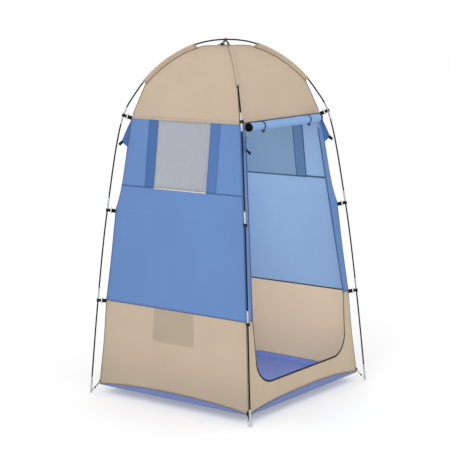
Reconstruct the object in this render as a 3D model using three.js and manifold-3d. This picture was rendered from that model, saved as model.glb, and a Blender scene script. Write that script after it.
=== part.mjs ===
// A free-standing changing tent: two bent poles cross over a domed roof and hold four fabric walls
// by hooks on webbing. Millimetres, +Z up, origin on the ground under the middle of the floor.
// The door faces -Y and the open window faces -X.
import * as THREE from 'three';
import { mergeVertices } from 'three/addons/utils/BufferGeometryUtils.js';
import Module from 'manifold-3d';

const wasm = await Module();
wasm.setup();

// Overall sizes
const overallHeight = 1900;
const floorHalfSide = 503;
const lowClipHalfSide = 469;
const midClipHalfSide = 425;
const hemHalfSide = 356;
const tubEdgeHeight = 45;
const lowSeamHeight = 512;
const midBendHeight = 1001;
const hemHeight = 1495;
const roofCurvePower = 1.8;
const roofEaveRise = 170;

// Clearances
const touchGap = 0.3;
const runningGap = 0.4;
const cutOverrun = 2;

// Fabric
const fabricThickness = 1;
const seamArm = 6;
const seamFin = 4.5;

// Poles
const rodRadius = 3.95;
const ferruleRadius = 5.2;
const clipReach = 46;
const footReach = 50;
const topClipLift = 9;
const footFerruleLength = 70;
const legFerruleLength = 60;
const topFerruleLength = 95;
const rodStep = 60;
const archStep = 29;
const sleeveStep = 45;
const archRadiusShares = [0.885, 0.727, 0.52, 0.273];
const archRiseShares = [0.286, 0.56, 0.789, 0.948];

// Clip hooks and their rings
const ringWireRadius = 1.25;
const clipRingHeight = 30;
const clipRingWidth = 10;
const ringCornerRadius = 3;
const clipWebbingHeight = 14;
const webbingThickness = 1.5;
const hookHeight = 16;
const hookThickness = 3;
const hookEyeRadius = 3.4;
const hookEyeToRod = 10;
const hookTipAngle = 24;
const hookShankAngle = 14;

// Feet
const pinRadius = 2;
const pinInsertion = 28;
const pinBallRadius = 5;
const pinCollarRadius = 4.8;
const pinCollarHeight = 5;
const footRodLift = 20;
const footLinkWidth = 16;
const footStrapWidth = 20;
const footStrapEndWidth = 7;
const footStrapRise = 16;
const foldWall = 1.4;

// Guy-out tabs
const guyTabDrop = 12;
const guyTabHeight = 146;
const guyTabTipRise = 22;
const guyTabReach = 34;
const guyLoopOuter = 8;
const guyLoopInner = 5;

// Roof sleeves and the tie over the roof
const sleeveInnerRadius = 5.2;
const sleeveWall = 2;
const sleeveTopRadius = 165;
const sleeveLowRadius = 440;
const tieCordRadius = 1.5;
const tieDrop = 18;
const tieFootHalfWidth = 14;
const tieTailLength = 52;
const knotRadius = 3;
const lockRadius = 6;
const lockLength = 13;
const lockSeat = 22;
const lockTravel = 3;
const lockWall = 1.6;
const buttonRadius = 3.8;
const buttonCapRadius = 5;
const buttonCapLength = 3;

// Floor
const tubRimLow = 8;
const tubRimArch = 42;
const floorSagInsets = [170, 320];
const floorSagShares = [0.42, 0];

// Windows, their covers and the pocket
const meshHalfWidth = 173;
const windowStripWidth = 63;
const windowSillHeight = 1135;
const coverOverlap = 4;
const coverRollRadius = 13;
const pocketHalfWidth = 133;
const pocketHeight = 178;
const pocketBelly = 18;

// Door
const trackTopDrop = 55;
const doorMarginTop = 46;
const doorMarginLow = 54;
const doorSillHeight = 180;
const doorCornerRadius = 120;
const doorSideLean = 10;
const zipTapeWidth = 10;
const zipBead = 3;
const sliderWidth = 9;
const sliderLength = 14;
const sliderWall = 1.6;
const pullLength = 22;
const pullWidth = 6;
const pullThickness = 1.5;
const doorRollRadius = 22;
const doorRollEndGap = 9;
const doorTieOffset = 205;
const doorTieWidth = 10;
const doorTieThickness = 1.4;
const toggleRadius = 4;
const toggleLength = 26;
const toggleCordRadius = 1;
const toggleDropAngle = 72;

// Facets
const rodSides = 8;
const wireSides = 6;
const roundSides = 10;
const arcSegments = 6;
const rollSides = 20;
const sideStations = 8;
const arcStations = 6;
const roofStations = 9;
const sleeveStations = 7;
const weldTolerance = 1e-4;
const halvings = 40;
const arcDivisions = 2000;
const ballAngles = [-60, -30, 0, 30];

const rootTwo = Math.SQRT2;
const quarterTurn = Math.PI / 2;
const halfFabric = fabricThickness / 2;
const degrees = THREE.MathUtils.degToRad;
const lerp = THREE.MathUtils.lerp;

const poleApexHeight = overallHeight - 2 * tieCordRadius - touchGap - rodRadius;
const underPoleDrop = 2 * rodRadius + touchGap;
const roofTopHeight = poleApexHeight - underPoleDrop - rodRadius - tieDrop;
const roofRise = roofTopHeight - hemHeight;
const topClipHeight = hemHeight + topClipLift;
const trackTopHeight = hemHeight - trackTopDrop;
const tubRimHeight = tubEdgeHeight + tubRimLow;

const colours = {
  rod: { color: 0x1d1d1f, roughness: 0.4, metalness: 0 },
  webbing: { color: 0x1a1a1c, roughness: 0.9, metalness: 0 },
  plastic: { color: 0x18181a, roughness: 0.45, metalness: 0 },
  steel: { color: 0xc4c7c9, roughness: 0.3, metalness: 1 },
  sand: { color: 0xc4b19c, roughness: 0.85, metalness: 0 },
  blue: { color: 0x6b90c8, roughness: 0.8, metalness: 0 },
  floorBlue: { color: 0x5566a8, roughness: 0.6, metalness: 0 },
  coverBlue: { color: 0x7693b6, roughness: 0.85, metalness: 0 },
  mesh: { color: 0xaaacb8, roughness: 0.95, metalness: 0 },
  zip: { color: 0x202126, roughness: 0.7, metalness: 0 },
};

const model = new THREE.Group();

function addNode(name, geometry, look, turn = 0) {
  const mesh = new THREE.Mesh(geometry, new THREE.MeshStandardMaterial(look));
  mesh.name = name;
  mesh.rotation.z = turn;
  model.add(mesh);
}

// Solids made of triangles, joins and cuts

function closedGeometry(triangles) {
  const cross = new THREE.Vector3();
  const volume = triangles.reduce((sum, [a, b, c]) => sum + a.dot(cross.crossVectors(b, c)), 0);
  const corners = triangles.flatMap(([a, b, c]) => (volume < 0 ? [a, c, b] : [a, b, c]));
  return new THREE.BufferGeometry().setFromPoints(corners);
}

function toSolid(geometry) {
  const bare = geometry.clone();
  bare.deleteAttribute('normal');
  bare.deleteAttribute('uv');
  const merged = mergeVertices(bare, weldTolerance);
  const vertProperties = new Float32Array(merged.attributes.position.array);
  const triVerts = new Uint32Array(merged.index.array);
  return new wasm.Manifold(new wasm.Mesh({ numProp: 3, vertProperties, triVerts }));
}

function toGeometry(solid) {
  const mesh = solid.getMesh();
  const geometry = new THREE.BufferGeometry();
  geometry.setAttribute('position', new THREE.BufferAttribute(mesh.vertProperties, mesh.numProp));
  geometry.setIndex(new THREE.BufferAttribute(mesh.triVerts, 1));
  return geometry;
}

function join(...geometries) {
  return toGeometry(geometries.map(toSolid).reduce((whole, piece) => whole.add(piece)));
}

function cut(base, ...tools) {
  return toGeometry(tools.map(toSolid).reduce((whole, tool) => whole.subtract(tool), toSolid(base)));
}

function joinRings(first, second) {
  const triangles = [];
  for (let i = 0; i < first.length; i += 1) {
    const next = (i + 1) % first.length;
    triangles.push([first[i], first[next], second[next]]);
    triangles.push([first[i], second[next], second[i]]);
  }
  return triangles;
}

function sweptSolid(rings, outline) {
  const triangles = [];
  for (let i = 0; i + 1 < rings.length; i += 1) {
    triangles.push(...joinRings(rings[i], rings[i + 1]));
  }
  const faces = THREE.ShapeUtils.triangulateShape(outline, []);
  const turned = THREE.ShapeUtils.isClockWise(outline);
  const first = rings[0];
  const last = rings[rings.length - 1];
  for (const [a, b, c] of faces) {
    triangles.push(turned ? [first[a], first[b], first[c]] : [first[a], first[c], first[b]]);
    triangles.push(turned ? [last[a], last[c], last[b]] : [last[a], last[b], last[c]]);
  }
  return closedGeometry(triangles);
}

// A thin sheet from a grid of middle points, with the cells that keep returns true for
function sheetSolid(grid, offset, keep = () => true) {
  const outer = grid.map((row) => row.map((point) => point.clone().add(offset)));
  const inner = grid.map((row) => row.map((point) => point.clone().sub(offset)));
  const rowCount = grid.length - 1;
  const columnCount = grid[0].length - 1;
  const kept = (i, j) => i >= 0 && j >= 0 && i < rowCount && j < columnCount && keep(i, j);
  const triangles = [];
  const edge = (from, to) => {
    const [a, b] = [outer[from[0]][from[1]], outer[to[0]][to[1]]];
    const [c, d] = [inner[from[0]][from[1]], inner[to[0]][to[1]]];
    triangles.push([b, a, c], [b, c, d]);
  };
  for (let i = 0; i < rowCount; i += 1) {
    for (let j = 0; j < columnCount; j += 1) {
      if (!kept(i, j)) continue;
      const cell = [[i, j], [i, j + 1], [i + 1, j + 1], [i + 1, j]];
      const [a, b, c, d] = cell.map(([row, column]) => outer[row][column]);
      const [e, f, g, h] = cell.map(([row, column]) => inner[row][column]);
      triangles.push([a, b, c], [a, c, d], [e, g, f], [e, h, g]);
      if (!kept(i - 1, j)) edge(cell[0], cell[1]);
      if (!kept(i, j + 1)) edge(cell[1], cell[2]);
      if (!kept(i + 1, j)) edge(cell[2], cell[3]);
      if (!kept(i, j - 1)) edge(cell[3], cell[0]);
    }
  }
  return closedGeometry(triangles);
}

function circlePoints(radius, sides) {
  const step = (2 * Math.PI) / sides;
  return Array.from({ length: sides }, (_, i) => {
    return new THREE.Vector2(radius * Math.cos(i * step), radius * Math.sin(i * step));
  });
}

function tubeAlong(curve, radius, sides, steps) {
  const section = new THREE.Shape(circlePoints(radius, sides));
  return new THREE.ExtrudeGeometry(section, { extrudePath: curve, steps, bevelEnabled: false });
}

function roundBar(radius, length, sides = roundSides) {
  const shape = new THREE.Shape(circlePoints(radius, sides));
  const bar = new THREE.ExtrudeGeometry(shape, { depth: length, bevelEnabled: false });
  return bar.translate(0, 0, -length / 2);
}

function block(width, depth, height) {
  return new THREE.BoxGeometry(width, depth, height);
}

// A wire bent into a rounded rectangle in the plane of across and along, closed on itself
function wireLoop(centre, across, along, width, length) {
  const normal = new THREE.Vector3().crossVectors(across, along);
  const centres = [];
  for (const [signAcross, signAlong] of [[1, -1], [1, 1], [-1, 1], [-1, -1]]) {
    const near = [width / 2, length / 2 - ringCornerRadius];
    const far = [width / 2 - ringCornerRadius, length / 2];
    const bend = signAcross === signAlong ? [near, far] : [far, near];
    for (const [a, b] of bend) {
      const point = centre.clone().addScaledVector(across, signAcross * a);
      centres.push(point.addScaledVector(along, signAlong * b));
    }
  }
  const section = circlePoints(ringWireRadius, wireSides);
  const rings = centres.map((point, i) => {
    const before = centres[(i + centres.length - 1) % centres.length];
    const after = centres[(i + 1) % centres.length];
    const tangent = new THREE.Vector3().subVectors(after, before).normalize();
    const side = new THREE.Vector3().crossVectors(tangent, normal);
    return section.map(({ x, y }) => point.clone().addScaledVector(side, x).addScaledVector(normal, y));
  });
  const triangles = rings.flatMap((ring, i) => joinRings(ring, rings[(i + 1) % rings.length]));
  return closedGeometry(triangles);
}

function placed(geometry, origin, across, side, up) {
  const matrix = new THREE.Matrix4().makeBasis(across, side, up).setPosition(origin);
  return geometry.applyMatrix4(matrix);
}

// The fabric's corner line: half the tent's side at a height
const cornerStations = [
  [tubEdgeHeight, floorHalfSide],
  [lowSeamHeight, lowClipHalfSide],
  [midBendHeight, midClipHalfSide],
  [hemHeight, hemHalfSide],
];

function cornerHalf(height) {
  let i = 1;
  while (i < cornerStations.length - 1 && height > cornerStations[i][0]) i += 1;
  const [low, lowHalf] = cornerStations[i - 1];
  const [high, highHalf] = cornerStations[i];
  return lerp(lowHalf, highHalf, (height - low) / (high - low));
}

// The tub's rim rises between the corners; its stations are places along one side
const sideShares = Array.from({ length: sideStations + 1 }, (_, i) => (2 * i) / sideStations - 1);
const rimStations = sideShares.map((share) => {
  const height = tubRimHeight + tubRimArch * (1 - share * share);
  return { x: share * cornerHalf(height), height };
});

function tubRim(x) {
  let i = 1;
  while (i < rimStations.length - 1 && x > rimStations[i].x) i += 1;
  const [before, after] = [rimStations[i - 1], rimStations[i]];
  return lerp(before.height, after.height, (x - before.x) / (after.x - before.x));
}

const seamFootHeight = tubRim(floorHalfSide - 2 * seamArm) + touchGap;

// The four corners, each with its outward direction
const corners = {
  front_left: [-1, -1],
  front_right: [1, -1],
  back_left: [-1, 1],
  back_right: [1, 1],
};

function cornerPoint([signX, signY], radius, height) {
  return new THREE.Vector3((signX * radius) / rootTwo, (signY * radius) / rootTwo, height);
}

// Poles

function archCurve(start, apexHeight) {
  const end = start.map((sign) => -sign);
  const topRadius = rootTwo * hemHalfSide + clipReach;
  const rise = apexHeight - topClipHeight;
  const stations = [
    [rootTwo * floorHalfSide + footReach, 0],
    [rootTwo * lowClipHalfSide + clipReach, lowSeamHeight],
    [rootTwo * midClipHalfSide + clipReach, midBendHeight],
    [topRadius, topClipHeight],
    ...archRadiusShares.map((share, i) => [share * topRadius, topClipHeight + archRiseShares[i] * rise]),
  ];
  const points = stations.map(([radius, height]) => cornerPoint(start, radius, height));
  points.push(new THREE.Vector3(0, 0, apexHeight));
  points.push(...[...stations].reverse().map(([radius, height]) => cornerPoint(end, radius, height)));
  return new THREE.CatmullRomCurve3(points);
}

const overArch = archCurve(corners.back_left, poleApexHeight);
const underArch = archCurve(corners.front_left, poleApexHeight - underPoleDrop);
overArch.arcLengthDivisions = arcDivisions;
underArch.arcLengthDivisions = arcDivisions;

const legs = {
  back_left: { arch: overArch, fromEnd: false },
  front_right: { arch: overArch, fromEnd: true },
  front_left: { arch: underArch, fromEnd: false },
  back_right: { arch: underArch, fromEnd: true },
};

// The distance along a leg from the ground at which a measure of the point passes a value
function distanceWhere(leg, passed) {
  const length = leg.arch.getLength();
  let low = 0;
  let high = length / 2;
  for (let i = 0; i < halvings; i += 1) {
    const middle = (low + high) / 2;
    if (passed(legPoint(leg, middle))) high = middle;
    else low = middle;
  }
  return low;
}

function legShare(leg, distance) {
  const share = distance / leg.arch.getLength();
  return leg.fromEnd ? 1 - share : share;
}

function legPoint(leg, distance) {
  return leg.arch.getPointAt(legShare(leg, distance));
}

function legDirection(leg, distance) {
  return leg.arch.getTangentAt(legShare(leg, distance)).multiplyScalar(leg.fromEnd ? -1 : 1);
}

function distanceAtHeight(leg, height) {
  return distanceWhere(leg, (point) => point.z > height);
}

class Stretch extends THREE.Curve {
  constructor(leg, from, to) {
    super();
    Object.assign(this, { leg, from, to });
  }

  getPoint(share, target = new THREE.Vector3()) {
    return target.copy(legPoint(this.leg, lerp(this.from, this.to, share)));
  }
}

function legTube(leg, from, to, radius, step) {
  const steps = Math.max(1, Math.ceil((to - from) / step));
  return tubeAlong(new Stretch(leg, from, to), radius, rodSides, steps);
}

const clipNames = ['low', 'mid', 'top'];
const clipHeights = { low: lowSeamHeight, mid: midBendHeight, top: topClipHeight };
const gripRadii = { low: rodRadius, mid: rodRadius, top: ferruleRadius };

// Where the ferrules and rods of one leg start and end, as distances from the ground
function legDistances(leg) {
  const [low, mid, top] = clipNames.map((name) => distanceAtHeight(leg, clipHeights[name]));
  const aboveHook = hookHeight / 2 + runningGap;
  const ferrules = [
    [low + aboveHook, low + aboveHook + legFerruleLength],
    [mid + aboveHook, mid + aboveHook + legFerruleLength],
    [top - topFerruleLength / 2, top + topFerruleLength / 2],
  ];
  return { ferrules, joints: ferrules.map(([from, to]) => (from + to) / 2) };
}

function legSection(leg, index) {
  const { ferrules, joints } = legDistances(leg);
  const start = index === 0 ? footRodLift : joints[index - 1] + touchGap;
  const [ferruleStart, ferruleEnd] = ferrules[index];
  const step = index === 2 ? archStep : rodStep;
  const rod = legTube(leg, start, joints[index], rodRadius, step);
  const ferrule = legTube(leg, ferruleStart, ferruleEnd, ferruleRadius, step);
  const socket = legTube(leg, joints[index], ferruleEnd + cutOverrun, rodRadius + runningGap, step);
  if (index > 0) return cut(join(rod, ferrule), socket);
  const footFerrule = legTube(leg, footRodLift, footRodLift + footFerruleLength, ferruleRadius, rodStep);
  const whole = cut(join(rod, ferrule, footFerrule), socket);
  const boreTop = footRodLift + pinInsertion + cutOverrun;
  const bore = legTube(leg, footRodLift - cutOverrun, boreTop, pinRadius + runningGap, rodStep);
  return cut(whole, bore);
}

const sectionNames = ['lower', 'middle', 'upper'];
for (const [corner, leg] of Object.entries(legs)) {
  sectionNames.forEach((section, index) => {
    addNode(`pole_${corner}_${section}`, legSection(leg, index), colours.rod);
  });
}

class CrownCurve extends THREE.Curve {
  constructor(leg) {
    super();
    this.leg = leg;
    this.start = legDistances(leg).joints[2] + touchGap;
    this.end = leg.arch.getLength() - this.start;
  }

  getPoint(share, target = new THREE.Vector3()) {
    return target.copy(legPoint(this.leg, lerp(this.start, this.end, share)));
  }
}

function crownArc(leg) {
  const curve = new CrownCurve(leg);
  const steps = Math.ceil((curve.end - curve.start) / archStep);
  return tubeAlong(curve, rodRadius, rodSides, steps);
}

addNode('pole_crown_over', crownArc(legs.back_left), colours.rod);
addNode('pole_crown_under', crownArc(legs.front_left), colours.rod);

// Clips: X runs outwards from the corner, Z along the pole, the origin is the pole's centre

function clipFrame(corner, name) {
  const leg = legs[corner];
  const distance = distanceAtHeight(leg, clipHeights[name]);
  const origin = legPoint(leg, distance);
  const up = legDirection(leg, distance);
  const outward = cornerPoint(corners[corner], 1, 0);
  const across = outward.clone().addScaledVector(up, -outward.dot(up)).normalize();
  const side = new THREE.Vector3().crossVectors(up, across);
  let seamDistance = clipReach;
  for (let i = 0; i < halvings; i += 1) {
    const height = origin.z - across.z * seamDistance;
    const seamRadius = rootTwo * cornerHalf(Math.min(height, hemHeight));
    seamDistance = (origin.dot(outward) - seamRadius) / across.dot(outward);
  }
  return { origin, across, side, up, seamDistance };
}

const hookEyeDistance = (grip) => grip + hookEyeToRod;

function hookGeometry(corner, name) {
  const grip = gripRadii[name];
  const reach = hookEyeDistance(grip);
  const innerRadius = reach + grip + touchGap;
  const outerRadius = innerRadius + hookThickness;
  const shankStart = Math.asin((grip + runningGap) / reach);
  const shankEnd = shankStart + degrees(hookShankAngle);
  const tip = -degrees(hookTipAngle);
  const shape = new THREE.Shape();
  shape.absarc(0, 0, outerRadius, tip, shankEnd, false);
  shape.absarc(0, 0, hookEyeRadius, shankEnd, shankStart + 2 * Math.PI, false);
  shape.absarc(0, 0, innerRadius, shankStart, tip, true);
  shape.closePath();
  const eye = new THREE.Path(circlePoints(ringWireRadius + runningGap, rodSides));
  shape.holes.push(eye);
  const options = { depth: hookHeight, bevelEnabled: false, curveSegments: arcSegments };
  const hook = new THREE.ExtrudeGeometry(shape, options).translate(-reach, 0, -hookHeight / 2);
  const { origin, across, side, up } = clipFrame(corner, name);
  return placed(hook, origin, across, side, up);
}

for (const corner of Object.keys(corners)) {
  for (const name of clipNames) {
    addNode(`clip_hook_${corner}_${name}`, hookGeometry(corner, name), colours.plastic);
  }
}

function clipWebbing(corner, name) {
  const { origin, across, side, up, seamDistance } = clipFrame(corner, name);
  const outerBar = -hookEyeDistance(gripRadii[name]);
  const innerBar = outerBar - clipRingWidth;
  const webbingEnd = innerBar + ringWireRadius + webbingThickness / 2;
  const webbingStart = -seamDistance + seamFin / 2;
  const length = webbingEnd - webbingStart;
  const band = block(length, webbingThickness, clipWebbingHeight);
  band.translate(webbingStart + length / 2, 0, 0);
  const fold = roundBar(ringWireRadius + foldWall, clipWebbingHeight, wireSides).translate(innerBar, 0, 0);
  const ringCentre = new THREE.Vector3((outerBar + innerBar) / 2, 0, 0);
  const [alongX, alongZ] = [new THREE.Vector3(1, 0, 0), new THREE.Vector3(0, 0, 1)];
  const ring = wireLoop(ringCentre, alongX, alongZ, clipRingWidth, clipRingHeight);
  return [band, fold, ring].map((piece) => placed(piece, origin, across, side, up));
}

// Feet: the pin stands in the pole's foot and the link joins it to the corner strap

function footFrame(corner) {
  const leg = legs[corner];
  const up = legDirection(leg, 0);
  const outward = cornerPoint(corners[corner], 1, 0);
  const tangent = new THREE.Vector3(0, 0, 1).cross(outward);
  return { base: legPoint(leg, 0), up, outward, tangent, leg };
}

function footLink(corner) {
  const { base, outward, tangent } = footFrame(corner);
  const ball = base.clone().setZ(pinBallRadius);
  const strapTop = cornerPoint(corners[corner], rootTwo * cornerHalf(tubRimHeight), tubRimHeight);
  strapTop.addScaledVector(outward, seamFin);
  const linkTop = strapTop.clone().lerp(ball, 1 / 2);
  const along = new THREE.Vector3().subVectors(linkTop, ball).normalize();
  const length = linkTop.distanceTo(ball);
  const centre = linkTop.clone().lerp(ball, 1 / 2);
  return { linkTop, along, length, centre, tangent, strapTop };
}

function footPin(corner) {
  const { base, up, leg } = footFrame(corner);
  const { centre, along, length, tangent } = footLink(corner);
  const shoulder = footRodLift - touchGap;
  const profile = [new THREE.Vector2(0, -pinBallRadius)];
  for (const angle of ballAngles) {
    const turn = degrees(angle);
    profile.push(new THREE.Vector2(pinBallRadius * Math.cos(turn), pinBallRadius * Math.sin(turn)));
  }
  const ballLift = legPoint(leg, pinBallRadius).z / pinBallRadius;
  const fromBall = (distance) => distance - pinBallRadius * ballLift;
  profile.push(new THREE.Vector2(pinCollarRadius, fromBall(shoulder - pinCollarHeight)));
  profile.push(new THREE.Vector2(pinCollarRadius, fromBall(shoulder)));
  profile.push(new THREE.Vector2(pinRadius, fromBall(shoulder)));
  profile.push(new THREE.Vector2(pinRadius, fromBall(footRodLift + pinInsertion)));
  profile.push(new THREE.Vector2(0, fromBall(footRodLift + pinInsertion)));
  const pin = new THREE.LatheGeometry(profile, roundSides).rotateX(quarterTurn);
  const side = new THREE.Vector3(0, 0, 1).cross(base).normalize();
  const across = new THREE.Vector3().crossVectors(side, up);
  const ball = legPoint(leg, pinBallRadius);
  placed(pin, ball, across, side, up);
  return join(pin, wireLoop(centre, tangent, along, footLinkWidth, length));
}

for (const corner of Object.keys(corners)) {
  addNode(`foot_pin_${corner}`, footPin(corner), colours.steel);
}

function footStrap(corner) {
  const { linkTop, strapTop, along, tangent } = footLink(corner);
  const foldRadius = ringWireRadius + runningGap + foldWall;
  const topHeight = tubRimHeight + footStrapRise;
  const top = cornerPoint(corners[corner], rootTwo * cornerHalf(topHeight) + seamFin, topHeight);
  const normal = new THREE.Vector3().crossVectors(tangent, along).multiplyScalar(webbingThickness / 2);
  const end = linkTop.clone().addScaledVector(along, (foldRadius + ringWireRadius + runningGap) / 2);
  const row = (point, width) => [-width / 2, width / 2].map((x) => point.clone().addScaledVector(tangent, x));
  const rows = [row(top, footStrapWidth), row(strapTop, footStrapWidth), row(end, footStrapEndWidth)];
  const strap = sheetSolid(rows, normal);
  const up = new THREE.Vector3().crossVectors(tangent, along);
  const fold = roundBar(foldRadius, footStrapEndWidth);
  const bore = roundBar(ringWireRadius + runningGap, footStrapEndWidth + 2 * cutOverrun);
  placed(fold, linkTop, along, up, tangent);
  placed(bore, linkTop, along, up, tangent);
  return cut(join(strap, fold), bore);
}

// Guy-out tab with its webbing loop, flat in the corner's upright plane

function guyTab(corner) {
  const sign = corners[corner];
  const seamRadius = (height) => rootTwo * cornerHalf(height) + seamFin / 2;
  const top = hemHeight - guyTabDrop;
  const bottom = top - guyTabHeight;
  const tipHeight = bottom + guyTabTipRise;
  const tipRadius = seamRadius(tipHeight) + guyTabReach;
  const outline = [[seamRadius(top), top], [seamRadius(bottom), bottom], [tipRadius, tipHeight]];
  const shape = new THREE.Shape(outline.map(([radius, height]) => new THREE.Vector2(radius, height)));
  const loop = new THREE.Shape();
  const loopRadius = tipRadius;
  const loopHeight = tipHeight - (guyLoopOuter + guyLoopInner) / 2;
  loop.absarc(loopRadius, loopHeight, guyLoopOuter, 0, 2 * Math.PI, false);
  const hole = new THREE.Path();
  hole.absarc(loopRadius, loopHeight, guyLoopInner, 0, 2 * Math.PI, true);
  loop.holes.push(hole);
  const options = { depth: webbingThickness, bevelEnabled: false, curveSegments: arcSegments };
  const outward = cornerPoint(sign, 1, 0);
  const up = new THREE.Vector3(0, 0, 1);
  const side = new THREE.Vector3().crossVectors(outward, up);
  return [shape, loop].map((flat) => {
    const plate = new THREE.ExtrudeGeometry(flat, options).translate(0, 0, -webbingThickness / 2);
    return placed(plate, new THREE.Vector3(), outward, up, side);
  });
}

// Corner seam: two arms that lie in the walls and a fin along the diagonal

function seamSolid(corner) {
  const armEnd = seamArm + halfFabric;
  const inner = fabricThickness / rootTwo;
  const finHalf = webbingThickness / 2;
  const arm = [armEnd / rootTwo, armEnd / rootTwo];
  const outline = [
    [seamFin, finHalf],
    [-finHalf, finHalf],
    [-arm[0], arm[1]],
    [-arm[0] - inner, arm[1] - inner],
    [-fabricThickness * rootTwo, 0],
    [-arm[0] - inner, inner - arm[1]],
    [-arm[0], -arm[1]],
    [-finHalf, -finHalf],
    [seamFin, -finHalf],
  ].map(([u, v]) => new THREE.Vector2(u, v));
  const outward = cornerPoint(corners[corner], 1, 0);
  const tangent = new THREE.Vector3(0, 0, 1).cross(outward);
  const heights = [seamFootHeight, lowSeamHeight, midBendHeight, hemHeight - touchGap];
  const rings = heights.map((height) => {
    const point = cornerPoint(corners[corner], rootTwo * (cornerHalf(height) + halfFabric), height);
    return outline.map(({ x, y }) => point.clone().addScaledVector(outward, x).addScaledVector(tangent, y));
  });
  return sweptSolid(rings, outline);
}

for (const corner of Object.keys(corners)) {
  const clips = clipNames.flatMap((name) => clipWebbing(corner, name));
  const seam = join(seamSolid(corner), ...clips, footStrap(corner), ...guyTab(corner));
  addNode(`corner_seam_${corner}`, seam, colours.webbing);
}

// Roof: a square dome with a sleeve round each pole

const roofCurve = (share) => (1 - share ** roofCurvePower) ** (1 / roofCurvePower);

// The roof's width at a share of its rise: straight up to the sleeves' lower ends, then round
function roofWidthShare(share) {
  const eave = roofEaveRise / roofRise;
  return share < eave ? lerp(1, roofCurve(eave), share / eave) : roofCurve(Math.min(1, share));
}

function roofRadius(height) {
  const share = Math.max(0, (height - hemHeight) / roofRise);
  return rootTwo * hemHalfSide * roofWidthShare(share);
}

function roofProfile(radius, rise, base) {
  const points = [];
  for (let i = 0; i <= roofStations; i += 1) {
    const share = Math.sin((quarterTurn * i) / roofStations) ** (2 / roofCurvePower);
    const x = i === roofStations ? 0 : radius * roofWidthShare(share);
    points.push(new THREE.Vector2(x, base + rise * share));
  }
  return points;
}

function sleeve(leg) {
  const from = distanceWhere(leg, (point) => Math.hypot(point.x, point.y) < sleeveLowRadius);
  const to = distanceWhere(leg, (point) => Math.hypot(point.x, point.y) < sleeveTopRadius);
  const outward = legPoint(leg, 0).setZ(0).normalize();
  const tangent = new THREE.Vector3(0, 0, 1).cross(outward);
  const outerRadius = sleeveInnerRadius + sleeveWall;
  const grid = [[], []];
  for (let i = 0; i <= sleeveStations; i += 1) {
    const distance = lerp(from, to, i / sleeveStations);
    const point = legPoint(leg, distance);
    const inward = new THREE.Vector3().crossVectors(tangent, legDirection(leg, distance));
    if (inward.dot(outward) > 0) inward.negate();
    let near = 0;
    let far = point.distanceTo(new THREE.Vector3(0, 0, hemHeight));
    for (let k = 0; k < halvings; k += 1) {
      const middle = (near + far) / 2;
      const test = point.clone().addScaledVector(inward, middle);
      if (Math.hypot(test.x, test.y) > roofRadius(test.z)) near = middle;
      else far = middle;
    }
    grid[0].push(point.clone().addScaledVector(inward, sleeveInnerRadius + sleeveWall / 2));
    grid[1].push(point.clone().addScaledVector(inward, near + fabricThickness));
  }
  const fin = sheetSolid(grid, tangent.clone().multiplyScalar(halfFabric));
  const tube = legTube(leg, from, to, outerRadius, sleeveStep);
  const bore = legTube(leg, from - cutOverrun, to + cutOverrun, sleeveInnerRadius, sleeveStep);
  return cut(join(fin, tube), bore);
}

function roofCanopy() {
  const base = hemHeight + touchGap;
  const outer = roofProfile(rootTwo * (hemHalfSide + halfFabric), roofTopHeight - base, base);
  const innerRise = roofTopHeight - base - fabricThickness;
  const inner = roofProfile(rootTwo * (hemHalfSide - halfFabric), innerRise, base);
  const profile = [...outer, ...inner.reverse(), outer[0].clone()];
  const dome = new THREE.LatheGeometry(profile, 4, quarterTurn / 2).rotateX(quarterTurn);
  return join(dome, ...Object.values(legs).map(sleeve));
}

addNode('roof_canopy', roofCanopy(), colours.sand);

// Walls, each made facing -Y and turned to its side

const wallTurns = { door: 0, left: -quarterTurn, back: 2 * quarterTurn, right: quarterTurn };
const outwardOffset = new THREE.Vector3(0, -halfFabric, 0);
const wallEdge = (height) => cornerHalf(height) - seamArm - touchGap;
const seamLow = lowSeamHeight - touchGap / 2;
const seamHigh = lowSeamHeight + touchGap / 2;
const wallTop = hemHeight - touchGap / 2;

function wallPoint(x, height) {
  return new THREE.Vector3(x, -cornerHalf(height), height);
}

// The places along one side that a wall's bottom edge shares with the tub's rim
const rimEdge = wallEdge(seamFootHeight);
const rimPlaces = rimStations.map(({ x }) => Math.min(rimEdge, Math.max(-rimEdge, x)));

function lowerWall() {
  const bottom = rimPlaces.map((x) => wallPoint(x, tubRim(x) + touchGap));
  const top = sideShares.map((share) => wallPoint(share * wallEdge(seamLow), seamLow));
  return sheetSolid([bottom, top], outwardOffset);
}

function upperWall(hasWindow) {
  const heights = [seamHigh, midBendHeight, windowSillHeight, wallTop].sort((a, b) => a - b);
  const rows = heights.map((height) => {
    const edge = wallEdge(height);
    return [-edge, -meshHalfWidth, meshHalfWidth, edge].map((x) => wallPoint(x, height));
  });
  const sillRow = heights.indexOf(windowSillHeight);
  return sheetSolid(rows, outwardOffset, (i, j) => !(hasWindow && j === 1 && i >= sillRow));
}

function flatPanel(halfWidth, low, high, inset = 0) {
  const heights = [low, high];
  if (low < midBendHeight && midBendHeight < high) heights.splice(1, 0, midBendHeight);
  const rows = heights.map((height) => [-halfWidth, halfWidth].map((x) => wallPoint(x, height)));
  return sheetSolid(rows, outwardOffset).translate(0, inset, 0);
}

addNode('window_wall_left', upperWall(true), colours.blue, wallTurns.left);
addNode('window_wall_right', upperWall(true), colours.blue, wallTurns.right);
addNode('back_wall_upper', upperWall(false), colours.blue, wallTurns.back);
addNode('left_wall_lower', lowerWall(), colours.sand, wallTurns.left);
addNode('right_wall_lower', lowerWall(), colours.sand, wallTurns.right);
addNode('back_wall_lower', lowerWall(), colours.sand, wallTurns.back);

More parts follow.
